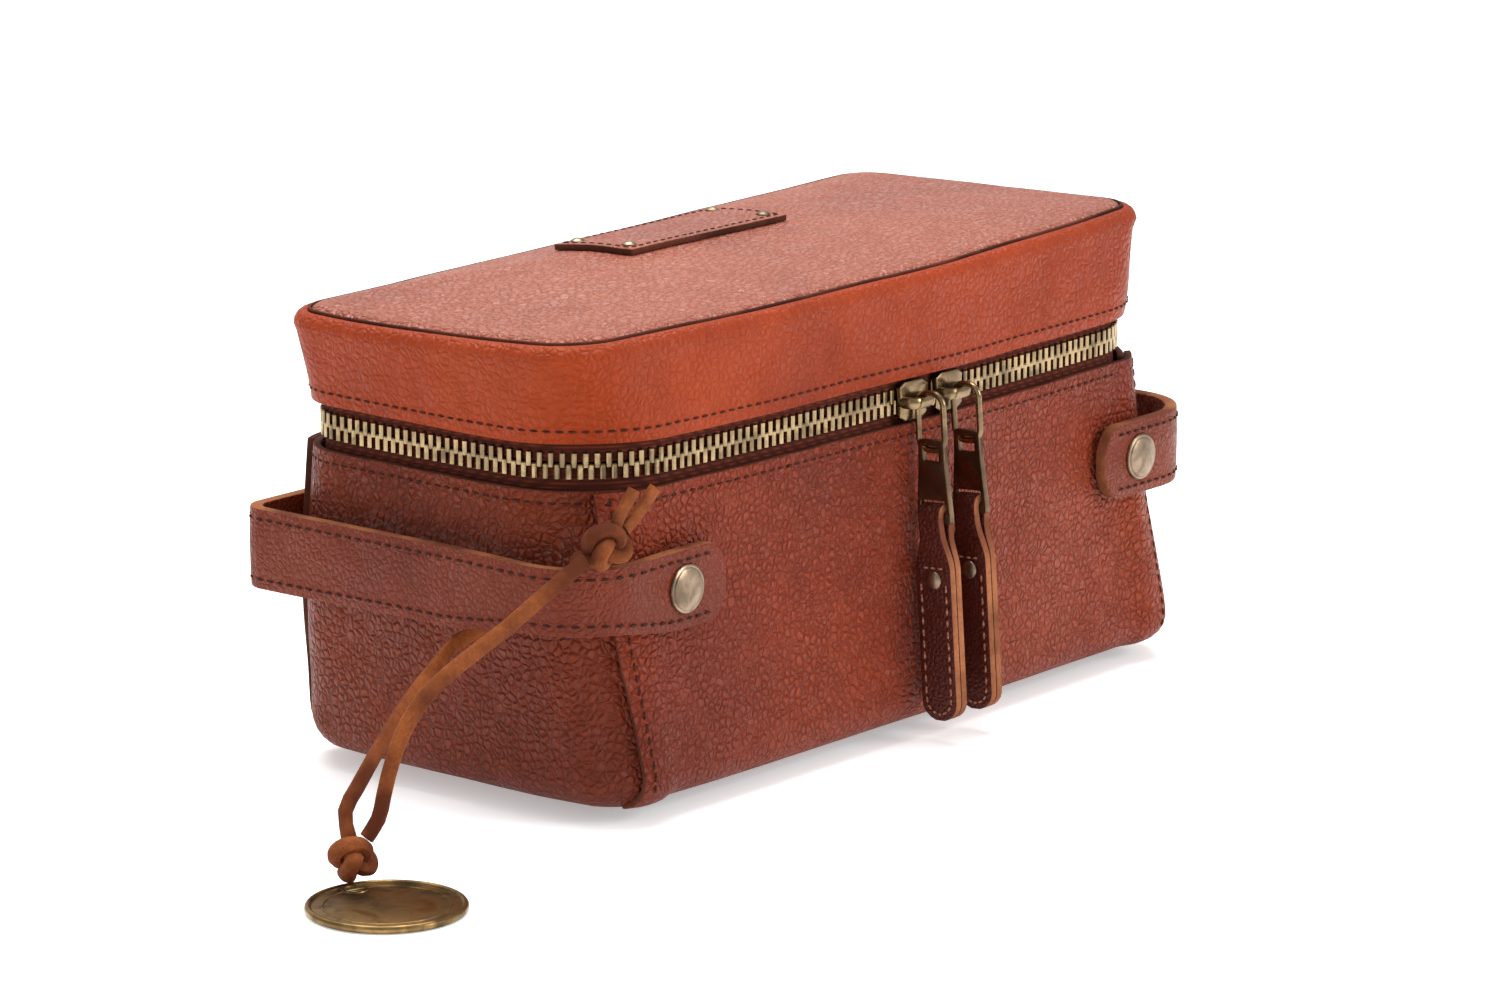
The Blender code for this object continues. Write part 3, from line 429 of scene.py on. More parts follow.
# %% Thread, metal and cloth
def thread(name, colour, deep):
    """Waxed thread: a twist of fine diagonal plies."""
    made, tree, shader = new_material(name, 0.7)
    shader.inputs["Specular IOR Level"].default_value = 0.15
    place = place_of(tree)
    plies = node(tree, "TexWave", {"Vector": place, "Scale": 420.0, "Distortion": 1.5},
                 bands_direction="DIAGONAL").outputs["Fac"]
    tree.links.new(blend_colours(tree, plies, deep, colour), shader.inputs["Base Color"])
    add_bump(tree, shader, ((plies, 0.5, 0.0002),))
    return made


def brass(name, colour, tarnish, rough, amount, speckle=140.0):
    """Brass whose tarnish gathers in patches and fine specks."""
    made, tree, shader = new_material(name, rough[0], 1.0)
    place = place_of(tree)
    patches = noise_at(tree, place, speckle, 8.0, 0.8)
    specks = noise_at(tree, place, speckle * 9, 4.0)
    worn = to_range(tree, patches, 0.38, 0.66, 0.0, amount)
    base = blend_colours(tree, worn, colour, tarnish)
    base = blend_colours(tree, to_range(tree, specks, 0.55, 0.75, 0.0, 0.5 * amount), base, tarnish)
    tree.links.new(base, shader.inputs["Base Color"])
    tree.links.new(to_range(tree, patches, 0.35, 0.7, *rough), shader.inputs["Roughness"])
    add_bump(tree, shader, ((patches, 0.12, 0.0004), (specks, 0.12, 0.0001)))
    return made


def twill(name, colour, deep, scale=900.0):
    """Woven cloth: diagonal ribs crossed by finer ones."""
    made, tree, shader = new_material(name, 0.9)
    shader.inputs["Specular IOR Level"].default_value = 0.15
    place = place_of(tree)
    ribs = node(tree, "TexWave", {"Vector": place, "Scale": scale / 6.28, "Distortion": 0.6},
                bands_direction="DIAGONAL").outputs["Fac"]
    cross = node(tree, "TexWave", {"Vector": place, "Scale": scale / 3.4, "Distortion": 0.4},
                 bands_direction="Z").outputs["Fac"]
    fuzz = noise_at(tree, place, 400.0, 6.0)
    weave = node(tree, "Math", {0: ribs, 1: cross}, operation="MULTIPLY").outputs[0]
    base = blend_colours(tree, weave, deep, colour)
    base = blend_colours(tree, to_range(tree, fuzz, 0.45, 0.7, 0.0, 0.4), base, deep)
    tree.links.new(base, shader.inputs["Base Color"])
    add_bump(tree, shader, ((weave, 0.6, 0.0003),))
    return made


THREAD_DARK = thread("thread_dark", (0.06, 0.016, 0.009), (0.025, 0.007, 0.004))
THREAD_PINK = thread("thread_pink", (0.40, 0.17, 0.11), (0.22, 0.08, 0.05))
CAP_BRASS = brass("cap_brass", (0.34, 0.25, 0.17), (0.11, 0.075, 0.052), (0.30, 0.5), 0.85)
TAG_BRASS = brass("tag_brass", (0.36, 0.225, 0.085), (0.075, 0.045, 0.02), (0.28, 0.5), 1.0, 110.0)
BRIGHT_BRASS = brass("bright_brass", (0.40, 0.29, 0.155), (0.11, 0.075, 0.045), (0.2, 0.4), 0.8)
ANTIQUE = brass("antique_brass", (0.27, 0.185, 0.10), (0.08, 0.052, 0.03), (0.2, 0.4), 0.75)
DARK_BRONZE = brass("dark_bronze", (0.16, 0.105, 0.06), (0.045, 0.03, 0.02), (0.26, 0.45), 0.7)
TAPE_CLOTH = twill("zip_tape", (0.15, 0.030, 0.014), (0.055, 0.011, 0.006))
LINING = twill("lining_cloth", (0.075, 0.066, 0.058), (0.03, 0.026, 0.023), 1400.0)
BOARD = raw_edge("stiffener_board", (0.33, 0.27, 0.20), (0.22, 0.18, 0.13))
floor_finish, floor_tree, floor_shader = new_material("pale_floor", 0.9)
speck = noise_at(floor_tree, place_of(floor_tree), 30.0)
floor_tree.links.new(blend_colours(floor_tree, speck, (0.93, 0.93, 0.93), (0.95, 0.95, 0.95)),
                     floor_shader.inputs["Base Color"])
floor_shader.inputs["Specular IOR Level"].default_value = 0.1
floor_shader.inputs["Emission Color"].default_value = (1, 1, 1, 1)
floor_shader.inputs["Emission Strength"].default_value = 0.35
print("finishes:", len(bpy.data.materials))

# %% Floor
work = bmesh.new()
bmesh.ops.create_grid(work, x_segments=4, y_segments=4, size=6.0)
ground = bpy.data.meshes.new("floor")
work.to_mesh(ground)
work.free()
ground.materials.append(floor_finish)
floor = bpy.data.objects.new("floor", ground)
bpy.context.scene.collection.objects.link(floor)
floor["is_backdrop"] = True

# %% [markdown]
# ## The disc and its lace
# A flat suede lace is tied round the left handle in a knot, and both of its runs go down to the
# disc that lies on the floor. A lace is a section carried along a smooth line. Each knot is one
# too: a line that winds three times through itself, pressed to the knot's size.

# %% Knots and laces
KNOT_ON_HANDLE, KNOT_ON_TAG = Vector((-124.2, -60.2, 76.4)), Vector((-197.8, -41.5, 9))
LACE_FRONT = ((-131.5, -59.2, 74), (-135, -58.7, 72), (-145, -56, 66), (-154.3, -53.5, 60.2),
              (-163.7, -51, 55.2), (-173, -48.5, 49.8), (-180.6, -47.2, 44),
              (-185.4, -46.4, 37.5), (-188.8, -46, 30.6), (-191.2, -46, 24.5),
              (-193.2, -46, 19), (-195.5, -44, 14))
LACE_BACK = ((-120.5, -48.5, 66), (-125, -39, 62), (-125, -28, 55), (-125.3, -17, 47.5),
             (-131, -14.5, 44.6), (-143, -19.3, 42.5), (-157, -25, 39.5), (-171, -31, 36),
             (-182, -35, 31), (-190, -36.5, 25), (-195.5, -37, 19.5), (-197, -39.5, 13.5))
TAILS = {"left": ((-121.6, -60.9, 81), (-120.5, -61.5, 84), (-117.5, -63.5, 90)),
         "right": ((-118.6, -61.2, 79.6), (-114, -62, 83.5), (-109.5, -63.5, 89))}


def knot(name, middle, size, body):
    """A line that winds through itself, pressed to the knot's size."""
    line = []
    for i in range(96):
        t = 2 * math.pi * i / 96
        reach = 2 + math.cos(3 * t)
        line.append(Vector((reach * math.cos(2 * t) / 3, math.sin(3 * t) * 0.6,
                            reach * math.sin(2 * t) / 3)))
    line = [Vector([m + v * (s - 1.6) for m, v, s in zip(middle, p, size)]) for p in line]
    work = sweep(line, 2.5, 1.9, (0.3, 1, 0.2), closed=True, sides=10)
    return piece(name, work, (SUEDE,), body, (name,))


knot("lace_knot_handle", KNOT_ON_HANDLE, (7.5, 5.2, 6.2), "handle_left")
knot_tag = knot("lace_knot_tag", KNOT_ON_TAG, (6.2, 6.2, 5.8), "bag_body")


# %% The brass disc
def ring_of(centre, radius, count):
    return [(centre[0] + radius * math.cos(2 * math.pi * i / count),
             centre[1] + radius * math.sin(2 * math.pi * i / count)) for i in range(count)]


def flat_shape(loops, thickness, edge):
    """A flat outline with holes, filled, thickened and given rounded edges."""
    curve = bpy.data.curves.new("flat", "CURVE")
    curve.dimensions, curve.fill_mode = "2D", "BOTH"
    curve.extrude, curve.bevel_depth = thickness / 2 - edge, edge
    curve.bevel_resolution, curve.offset = 2, -edge
    for loop in loops:
        spline = curve.splines.new("POLY")
        spline.points.add(len(loop) - 1)
        for control, (x, y) in zip(spline.points, loop):
            control.co = (x, y, 0, 1)
        spline.use_cyclic_u = True
    guide = bpy.data.objects.new("flat", curve)
    bpy.context.scene.collection.objects.link(guide)
    bpy.context.view_layer.update()
    solved = guide.evaluated_get(bpy.context.evaluated_depsgraph_get())
    mesh = bpy.data.meshes.new_from_object(solved)
    bpy.data.objects.remove(guide)
    work = bmesh.new()
    work.from_mesh(mesh)
    bpy.data.meshes.remove(mesh)
    for face in work.faces:
        face.material_index = 0
    bmesh.ops.remove_doubles(work, verts=work.verts, dist=0.002)
    bmesh.ops.recalc_face_normals(work, faces=work.faces)
    return work


TAG_MIDDLE, TAG_HOLE = (-203.3, -57.7), (-199, -42.9)
disc = flat_shape([ring_of(TAG_MIDDLE, 19.2, 96), ring_of(TAG_HOLE, 2.6, 32)], 1.3, 0.2)
disc.transform(Matrix.Translation((0, 0, 0.9)))
rim_line = [Vector((x, y, 1.15)) for x, y in ring_of(TAG_MIDDLE, 19.1, 96)]
rim = sweep(rim_line, 1.05, 0.9, (0, 0, 1), closed=True)
step_line = [Vector((x, y, 1.5)) for x, y in ring_of(TAG_MIDDLE, 15.6, 96)]
step = sweep(step_line, 0.28, 0.35, (0, 0, 1), closed=True, sides=8)
lip_line = [Vector((x, y, 1.55)) for x, y in ring_of(TAG_HOLE, 3.0, 32)]
lip = sweep(lip_line, 0.35, 0.45, (0, 0, 1), closed=True, sides=8)
brass_tag = piece("brass_tag", join_meshes([disc, rim, step, lip]), (TAG_BRASS,), "bag_body",
                  ("brass_tag",))


LACE_HALF_WIDE, LACE_HALF_DEEP, LACE_SQUARE = 2.0, 1.05, 0.75
LACE_FACES = (0.25, 0.35, 1)    # the way a run's width lies


def lace(name, points, count, body):
    line = even_route(points, count)
    work = sweep(line, LACE_HALF_WIDE, LACE_HALF_DEEP, LACE_FACES, square=LACE_SQUARE)
    made = piece(name, work, (SUEDE,), body, (name,))


lace("lace_front", LACE_FRONT, 34, "bag_body")
lace("lace_back", LACE_BACK, 38, "bag_body")
for side_name, tail in TAILS.items():
    work = sweep(even_route(tail, 12), LACE_HALF_WIDE, LACE_HALF_DEEP, (1, 0, -0.4),
                 square=LACE_SQUARE)
    piece("lace_tail_" + side_name, work, (SUEDE,), "handle_left",
          ("lace_tail_" + side_name,))

# %% [markdown]
# ## The bag's outline
# Every layer follows one outline: a rounded rectangle whose sides bow out, given at a few heights
# and mixed between them. A real bag never stands quite true, so a small lean and a gentle
# unevenness move every leather layer together.

# %% Outline
# height, half length, half depth, front corner radius, the bow of the front, ends and back, and
# the back corner radius
BASE = (13, 121.5, 57, 15, 1.5, 2.5, 1.5, 14)
WAIST = (50, 120.5, 55, 21, 3.5, 2.5, 1.2, 16)
RIM = (86, 120.5, 53, 28, 5, 2.5, 0.8, 18)
LID_EDGE = (98, 120.5, 53, 28, 5, 2.5, 0.8, 17)
LID_SEAM = (120.5, 122.5, 53, 15, 6.5, 3, 1, 14)
EDGE_IN, EDGE_HIGH = 8.3, 9.2   # how far the edge under the body rolls in, and over what height
ALL_ROUND = 9.0                 # turns; the back's straight lies between these two
BACK_FROM, BACK_TO = 4, 5


def mix(a, b, share):
    return tuple(u + (v - u) * share for u, v in zip(a, b))


def inset(level, depth, z=None):
    return (level[0] if z is None else z, level[1] - depth, level[2] - depth,
            max(level[3] - depth, 1.0), *level[4:7], max(level[7] - depth, 1.0))


def body_level(z):
    """The body's outer face at a height, with the edge under it rolled in."""
    if z < BASE[0]:
        below = (BASE[0] - z) / EDGE_HIGH
        return inset(BASE, EDGE_IN * (1 - math.sqrt(max(1 - below ** 2, 0.0))), z)
    if z < WAIST[0]:
        return mix(BASE, WAIST, (z - BASE[0]) / (WAIST[0] - BASE[0]))
    return mix(WAIST, RIM, min((z - WAIST[0]) / (RIM[0] - WAIST[0]), 1.0))


def lid_level(z):
    return mix(LID_EDGE, LID_SEAM, (z - LID_EDGE[0]) / (LID_SEAM[0] - LID_EDGE[0]))


def outline(level, turn):
    """A point of the outline. 0 is the front's middle, 1 and 2 the front right corner's ends,
    3 and 4 the back right corner's, 5 to 8 the left half, and 9 the front's middle again."""
    z, length, depth, corner, front_bow, end_bow, back_bow, back_corner = level
    turn %= ALL_ROUND
    side = min(int(turn), 8)
    share = turn - side
    sin, cos = math.sin(share * math.pi / 2), math.cos(share * math.pi / 2)
    flat_x, front_y = length - corner, corner - depth
    back_x, back_y = length - back_corner, depth - back_corner
    x, y = ((flat_x * share, -depth), (flat_x + corner * sin, front_y - corner * cos),
            (length, front_y + (back_y - front_y) * share),
            (back_x + back_corner * cos, back_y + back_corner * sin),
            (back_x - 2 * back_x * share, depth),
            (-back_x - back_corner * sin, back_y + back_corner * cos),
            (-length, back_y + (front_y - back_y) * share),
            (-flat_x - corner * cos, front_y - corner * sin),
            (-flat_x + flat_x * share, -depth))[side]
    bow = front_bow if y < 0 else back_bow
    return Vector((x * (1 + end_bow / length * (1 - (y / depth) ** 2)),
                   y * (1 + bow / depth * (1 - (x / length) ** 2)), z))


def turn_at(level, x, back=False):
    """How many turns from its middle the front, or the back, is this far along."""
    corner = level[7] if back else level[3]
    flat_x = level[1] - corner
    if x > flat_x:
        return 1 + math.asin(min((x - flat_x) / corner, 1)) * 2 / math.pi
    return 1 - (1 - x / flat_x) / 2 if back else x / flat_x


RUN_STEPS = 220                 # points worked out before a run is evened


def run(level, start, end, count):
    """Evenly spaced points along the outline between two turns."""
    fine = [outline(level, start + (end - start) * i / RUN_STEPS) for i in range(RUN_STEPS + 1)]
    return spaced(fine, count)


# Without a seed the noise starts from the clock, and the bag comes out different on each run.
noise.seed_set(7)
BASE_SHIFT, TOP_SHIFT = (2.4, -2.6), (-1.2, 1.6)   # the lean of the base and of the lid's top
END_PULL = 2.0                  # how far the lid's top right end is drawn in


def settle(p):
    """The bag's lean and unevenness, the same for every layer that lies at a place."""
    base, top = 1 - ease(p.z, 4, 58), ease(p.z, 98, 124)
    waves = noise.noise_vector(p * 0.024) * 0.7 + noise.noise_vector(p * 0.07) * 0.2
    waves.z *= 0.3
    shortened = END_PULL * top * max(p.x / LID_SEAM[1], 0) ** 3
    return p + waves + Vector((BASE_SHIFT[0] * base + TOP_SHIFT[0] * top - shortened,
                               TOP_SHIFT[1] * top + BASE_SHIFT[1] * base, 0))


def outward(a, b):
    """The level direction out of the bag, from two points that follow each other round it."""
    along = (b - a).normalized()
    return Vector((along.y, -along.x, 0)).normalized()


print("front at the rim:", tuple(round(v, 1) for v in outline(RIM, 0)))

# %% [markdown]
# ## Body panels
# Front and back are each one panel whose cut ends lie over the end panels, with a stitched edge.
# A grid follows the outline from under the base to the rim. Near its ends it steps out by one
# thickness of leather, and Solidify gives the wall and its raw rim.

# %% Making the panels
PANEL_ROWS = 34
HEIGHTS = [4, 4.3, 5.2, 6.8, 9, 11.5]
HEIGHTS += [14 + 72 * i / (PANEL_ROWS - 6) for i in range(PANEL_ROWS - 5)]
OVERLAP = 2.2                   # how far the front and back panels' ends stand out
LAP_X, TUCK_X = 112, 106        # where those panels end, and the end panels under them


def overlap_at(x):
    """How far a front or back panel stands out at this distance along the bag."""
    return OVERLAP * ease(abs(x), 97, 105)


def panel(name, start, end, columns, lapped, finish):
    """A body panel between two turns, which are functions of the level."""
    rows = []
    for z in HEIGHTS:
        level = body_level(z)
        points = run(level, start(level), end(level), columns)
        shifted = []
        for i, p in enumerate(points):
            out = outward(points[max(i - 1, 0)], points[min(i + 1, columns)])
            shifted.append(settle(p) + out * (overlap_at(p.x) if lapped else 0.0))
        rows.append(shifted)
    work = face_away(shaped_grid(columns, len(HEIGHTS) - 1, lambda i, j: rows[j][i]))
    made = piece(name, work, (finish, EDGE_DARK), "bag_body", (name,))
    return thicken(made, 2.0, 0.35)


panel("front_panel", lambda l: ALL_ROUND - turn_at(l, LAP_X),
      lambda l: ALL_ROUND + turn_at(l, LAP_X), 150, True, HIDE_BODY)
panel("back_panel", lambda l: BACK_TO - turn_at(l, LAP_X, True),
      lambda l: BACK_FROM + turn_at(l, LAP_X, True), 150, True, HIDE_BODY)
# the end panels take the darker copy of the leather: painted shade
panel("end_panel_right", lambda l: turn_at(l, TUCK_X),
      lambda l: BACK_TO - turn_at(l, TUCK_X, True), 80, False, HIDE_END_PAINTED_SHADE)
panel("end_panel_left", lambda l: BACK_FROM + turn_at(l, TUCK_X, True),
      lambda l: ALL_ROUND - turn_at(l, TUCK_X), 80, False, HIDE_END_PAINTED_SHADE)

# %% [markdown]
# ## Stitches
# Each stitch is a small bead of thread that lies along its row and sinks at both ends. There are
# hundreds, so each is one low icosphere, stretched.


# %% Stitch rows
def stitch(work, middle, along, out, long=2.5, wide=0.75, high=0.55):
    """One stitch on a surface."""
    along = along.normalized()
    out = (out - along * out.dot(along)).normalized()
    axes = Matrix((along, out, along.cross(out))).transposed().to_4x4()
    size = Matrix.Diagonal((long / 2, high / 2, wide / 2, 1))
    bmesh.ops.create_icosphere(work, subdivisions=1, radius=1.0,
                               matrix=Matrix.Translation(middle) @ axes @ size)


STITCH_PITCH, STITCH_LIFT = 3.3, 0.1


def round_row(work, level, start, end, lapped=False):
    """Stitches along the outline at a level, on a panel that laps over its neighbour or not."""
    points = run(level, start, end, 200)
    count = round(sum((b - a).length for a, b in zip(points, points[1:])) / STITCH_PITCH)
    points = [settle(p) for p in run(level, start, end, count)]
    for a, b in zip(points, points[1:]):
        out = outward(a, b)
        raised = overlap_at(a.x) if lapped else 0.0
        stitch(work, (a + b) / 2 + out * (raised + STITCH_LIFT), b - a, out)


def side_row(work, x, back):
    """Stitches up a front or back panel's end, on its raised edge."""
    for i in range(24):
        z = 10 + 3.2 * i
        level = body_level(z)
        turn = turn_at(level, abs(x), back)
        if back:
            turn = BACK_TO - turn if x > 0 else BACK_FROM + turn
        elif x < 0:
            turn = ALL_ROUND - turn
        a, b = settle(outline(level, turn - 0.01)), settle(outline(level, turn + 0.01))
        above = settle(outline(body_level(z + 2), turn))
        out = outward(a, b)
        stitch(work, (a + b) / 2 + out * (OVERLAP + STITCH_LIFT), above - (a + b) / 2, out)


work = bmesh.new()
top_row = body_level(83)
reach, back_reach = turn_at(top_row, 111), turn_at(top_row, 111, True)
round_row(work, top_row, ALL_ROUND - reach, ALL_ROUND + reach, lapped=True)
round_row(work, top_row, BACK_TO - back_reach, BACK_FROM + back_reach, lapped=True)
reach, back_reach = turn_at(top_row, 113.5), turn_at(top_row, 113.5, True)
round_row(work, top_row, reach, BACK_TO - back_reach)
round_row(work, top_row, BACK_FROM + back_reach, ALL_ROUND - reach)
for x in (-109.4, 109.4):
    side_row(work, x, False)
    side_row(work, x, True)
piece("body_stitches", work, (THREAD_DARK,), "bag_body", sharp=180)

# %% [markdown]
# ## Lid
# The lid is a band that stands on the zip, and a top that is sewn into it with a rolled seam. The
# band is a closed grid round the outline. The top is another whose rows shrink from the seam
# to one point in the middle, along a crown that rises quickly and then flattens.


# %% Band
SEAM_HIGH, CROWN_HIGH = 124.0, 128.9


def seam_height(p):
    """How high the sewn seam stands: it tilts a little and lifts at the corners."""
    x, y = p.x / LID_SEAM[1], p.y / LID_SEAM[2]
    return SEAM_HIGH + 1.7 * x - 1.3 * y + 0.8 * min(x * x * y * y, 1.0)


def at_seam(p, above):
    """A settled point of the outline, so far above the seam."""
    return settle(Vector((p.x, p.y, seam_height(p) + above)))


ROUND_COLUMNS = 300
# the band's height as a share of the way to its shoulder; then the shoulder, which turns over
# to the seam: how far in, and how far below the seam
SHOULDER = ((0.0, 3.6), (0.35, 2.2), (1.1, 1.0), (2.1, 0.3), (3.2, 0.1), (3.9, 0.5), (4.3, 1.5))
band_rows = []
low = LID_EDGE[0]
for share in [i / 11 for i in range(11)]:
    line = run(lid_level(low + 20 * share), 0, ALL_ROUND, ROUND_COLUMNS)
    rows = []
    for p in line:
        top = seam_height(p) - SHOULDER[0][1]
        rows.append(settle(Vector((p.x, p.y, low + (top - low) * share))))
    band_rows.append(rows)
for depth, drop in SHOULDER:
    line = run(inset(LID_SEAM, depth), 0, ALL_ROUND, ROUND_COLUMNS)
    band_rows.append([at_seam(p, -drop) for p in line])
work = shaped_grid(ROUND_COLUMNS, len(band_rows) - 1, lambda i, j: band_rows[j][i])
face_away(work, (0, 0, 110))
lid_band = piece("lid_band", work, (HIDE_BAND, EDGE_DARK), "lid", ("lid_band",))
thicken(lid_band, 1.6, 0.3)

# %% Top
# the sewn edge: how far in from the outline, and how high above the seam
ROLL = ((4.4, -1.4), (4.7, -0.4), (5.2, 0.3), (6.2, 0.9), (7.8, 1.3))
# the crown inside it: a scale of the outline, and the share of what is left to rise
CROWN = ((0.95, 0.10), (0.90, 0.22), (0.83, 0.36), (0.75, 0.50), (0.65, 0.64), (0.54, 0.77),
         (0.42, 0.88), (0.30, 0.95), (0.18, 0.99), (0.08, 1.0), (0.0, 1.0))
top_rows = []
for depth, rise in ROLL:
    line = run(inset(LID_SEAM, depth), 0, ALL_ROUND, ROUND_COLUMNS)
    top_rows.append([at_seam(p, rise) for p in line])
rolled = run(inset(LID_SEAM, ROLL[-1][0]), 0, ALL_ROUND, ROUND_COLUMNS)
for scale, share in CROWN:
    line = []
    for p in rolled:
        low = seam_height(p) + ROLL[-1][1]
        line.append(settle(Vector((p.x * scale, p.y * scale, low + (CROWN_HIGH - low) * share))))
    top_rows.append(line)
work = shaped_grid(ROUND_COLUMNS, len(top_rows) - 1, lambda i, j: top_rows[j][i])
face_away(work, (0, 0, 100))
crown = BVHTree.FromBMesh(work)
# the top's lighter leather holds painted sheen in its colour
lid_top = piece("lid_top", work, (HIDE_LID_PAINTED_SHEEN, EDGE_DARK), "lid", ("lid_top",))
thicken(lid_top, 1.6, 0.2)

# %% Board under the top
# its edge, like the roll: how far in and how high above the seam; then the crown's rows, lowered
BOARD_EDGE, BOARD_DROP = ((9.0, -0.9), (9.6, -0.8)), 2.3
board_rows = []
for depth, rise in BOARD_EDGE:
    line = run(inset(LID_SEAM, depth), 0, ALL_ROUND, ROUND_COLUMNS)
    board_rows.append([at_seam(p, rise) for p in line])
for row in top_rows[len(ROLL) + 2:]:
    board_rows.append([p - Vector((0, 0, BOARD_DROP)) for p in row])
work = shaped_grid(ROUND_COLUMNS, len(board_rows) - 1, lambda i, j: board_rows[j][i])
face_away(work, (0, 0, 100))
thicken(piece("lid_board", work, (BOARD,), "lid", ("lid_board",)), 0.9, 0.15)

# %% Seam welt, dark as painted shade in the seam's groove, and lid stitches
# a welt along the seam, coloured dark to stand for the shade in its groove
shaded_welt = [at_seam(p, 0.05) for p in run(inset(LID_SEAM, 4.25), 0, ALL_ROUND, ROUND_COLUMNS)[:-1]]
piece("lid_seam_welt_shade", sweep(shaded_welt, 0.5, 0.4, (0, 0, 1), closed=True, sides=8), (EDGE_DARK,), "lid")
work = bmesh.new()
round_row(work, lid_level(101.4), 0, ALL_ROUND)
piece("lid_stitches", work, (THREAD_DARK,), "lid", sharp=180)


# %% [markdown]
# ## The patch on the lid
# A small leather label is stitched to the lid's back half and held by a rivet at each corner. Its
# height is found by casting a ray down on the lid's top, so that it follows the crown. The
# face is left plain, in the lid's leather with its worn patches and painted sheen.

# %% Patch
PATCH_X, PATCH_Y, PATCH_LONG, PATCH_WIDE = -5.5, 19.0, 66.0, 28.0
PATCH_COLUMNS, PATCH_ROWS = 40, 20
PATCH_LIFT = 1.95               # its stitches and rivets, above the lid's top


def on_crown(x, y, above):
    hit = crown.ray_cast(Vector((x, y, 200)), Vector((0, 0, -1)))
    return hit[0] + Vector((0, 0, above))


def patch_point(i, j):
    u, v = i / PATCH_COLUMNS * 2 - 1, j / PATCH_ROWS * 2 - 1
    pull_in = 1 - 0.02 * (u * v) ** 8
    return on_crown(PATCH_X + u * pull_in * PATCH_LONG / 2,
                    PATCH_Y + v * pull_in * PATCH_WIDE / 2, 1.9)


work = face_away(shaped_grid(PATCH_COLUMNS, PATCH_ROWS, patch_point))
patch = piece("top_patch", work, (HIDE_LID_PAINTED_SHEEN, EDGE_DARK), "lid", ("top_patch",))
thicken(patch, 1.7, 0.3)

# %% Patch stitches and rivets
work = bmesh.new()
half_long, half_wide = PATCH_LONG / 2 - 2, PATCH_WIDE / 2 - 2
corners = ((-1, -1), (1, -1), (1, 1), (-1, 1))
for (ax, ay), (bx, by) in zip(corners, corners[1:] + corners[:1]):
    length = 2 * (half_long if ay == by else half_wide)
    count = round(length / 3)
    line = [on_crown(PATCH_X + half_long * (ax + (bx - ax) * i / count),
                     PATCH_Y + half_wide * (ay + (by - ay) * i / count), PATCH_LIFT)
            for i in range(count + 1)]
    for a, b in zip(line, line[1:]):
        stitch(work, (a + b) / 2, b - a, Vector((0, 0, 1)), long=2.2)
piece("patch_stitches", work, (THREAD_DARK,), "lid", sharp=180)
small_cap = [(0, 0.95), (0.7, 0.88), (1.3, 0.66), (1.8, 0.32), (2.05, 0.0), (1.6, -0.05)]
for end, sx in (("left", -1), ("right", 1)):
    for face, sy in (("front", -1), ("back", 1)):
        x, y = PATCH_X + sx * (PATCH_LONG / 2 - 5), PATCH_Y + sy * (PATCH_WIDE / 2 - 5)
        work = turned(small_cap, 24)
        work.transform(Matrix.Translation(on_crown(x, y, PATCH_LIFT)))
        name = f"patch_rivet_{face}_{end}"
        piece(name, work, (CAP_BRASS,), "lid", (name,), sharp=180)

# %% [markdown]
# ## Zip
# Two cloth tapes are sewn behind the leather edges. Each carries a row of metal teeth that
# mesh with the other's, half a pitch apart. A tooth is one cube with its edges bevelled.

# %% Tapes
ZIP_STOP = 88.0                 # how far from the back's middle the zip ends


def zip_level(z):
    if z < RIM[0]:
        return body_level(z)
    return lid_level(z) if z > LID_EDGE[0] else (z, *RIM[1:])


def zip_reach(level):
    """How far along the back's straight the zip stops, as a share of it."""
    return (1 - ZIP_STOP / (level[1] - level[7])) / 2


def zip_ends(level):
    return BACK_TO - zip_reach(level), ALL_ROUND + BACK_FROM + zip_reach(level)


def tape(name, low, high, body):
    rows = []
    for j in range(13):
        level = inset(zip_level(low + (high - low) * j / 12), 3.0)
        rows.append(run(level, *zip_ends(level), 240))
    work = face_away(shaped_grid(240, 12, lambda i, j: rows[j][i]), (0, 0, 92))
    made = piece(name, work, (TAPE_CLOTH,), body, (name,))
    return thicken(made, 0.9, 0.15)


tape("zip_tape_lower", 79, 91.2, "bag_body")
tape("zip_tape_upper", 92.8, 105, "lid")

# %% Teeth
SLIDERS = {"left": 2.0, "right": 17.5}
PITCH = 2.9
TOOTH_INSET, TOOTH = 2.75, (1.45, 2.2, 4.2)   # its size along the row, into the bag and up
LINE_STEPS = 2400


def teeth(name, middle_z, offset, body):
    level = inset(RIM, TOOTH_INSET)
    line = run(level, *zip_ends(level), LINE_STEPS)
    length = sum((b - a).length for a, b in zip(line, line[1:]))
    count = int(length / PITCH) - 1
    work = bmesh.new()
    for i in range(count):
        at = min(round((i + 0.5 + offset) * PITCH / length * LINE_STEPS), LINE_STEPS - 1)
        a, b = line[at], line[at + 1]
        along, out = (b - a).normalized(), outward(a, b)
        axes = Matrix((along, out, Vector((0, 0, 1)))).transposed().to_4x4()
        size = Matrix.Diagonal((*TOOTH, 1))
        place = Matrix.Translation(Vector((a.x, a.y, middle_z)))
        bmesh.ops.create_cube(work, size=1.0, matrix=place @ axes @ size)
    bmesh.ops.bevel(work, geom=work.edges[:], offset=0.32, segments=1, profile=0.5,
                    affect="EDGES", material=-1)
    return piece(name, work, (BRIGHT_BRASS,), body, (name,), sharp=25)


teeth("zip_teeth_lower", 90.5, 0.0, "bag_body")
teeth("zip_teeth_upper", 93.5, 0.5, "lid")
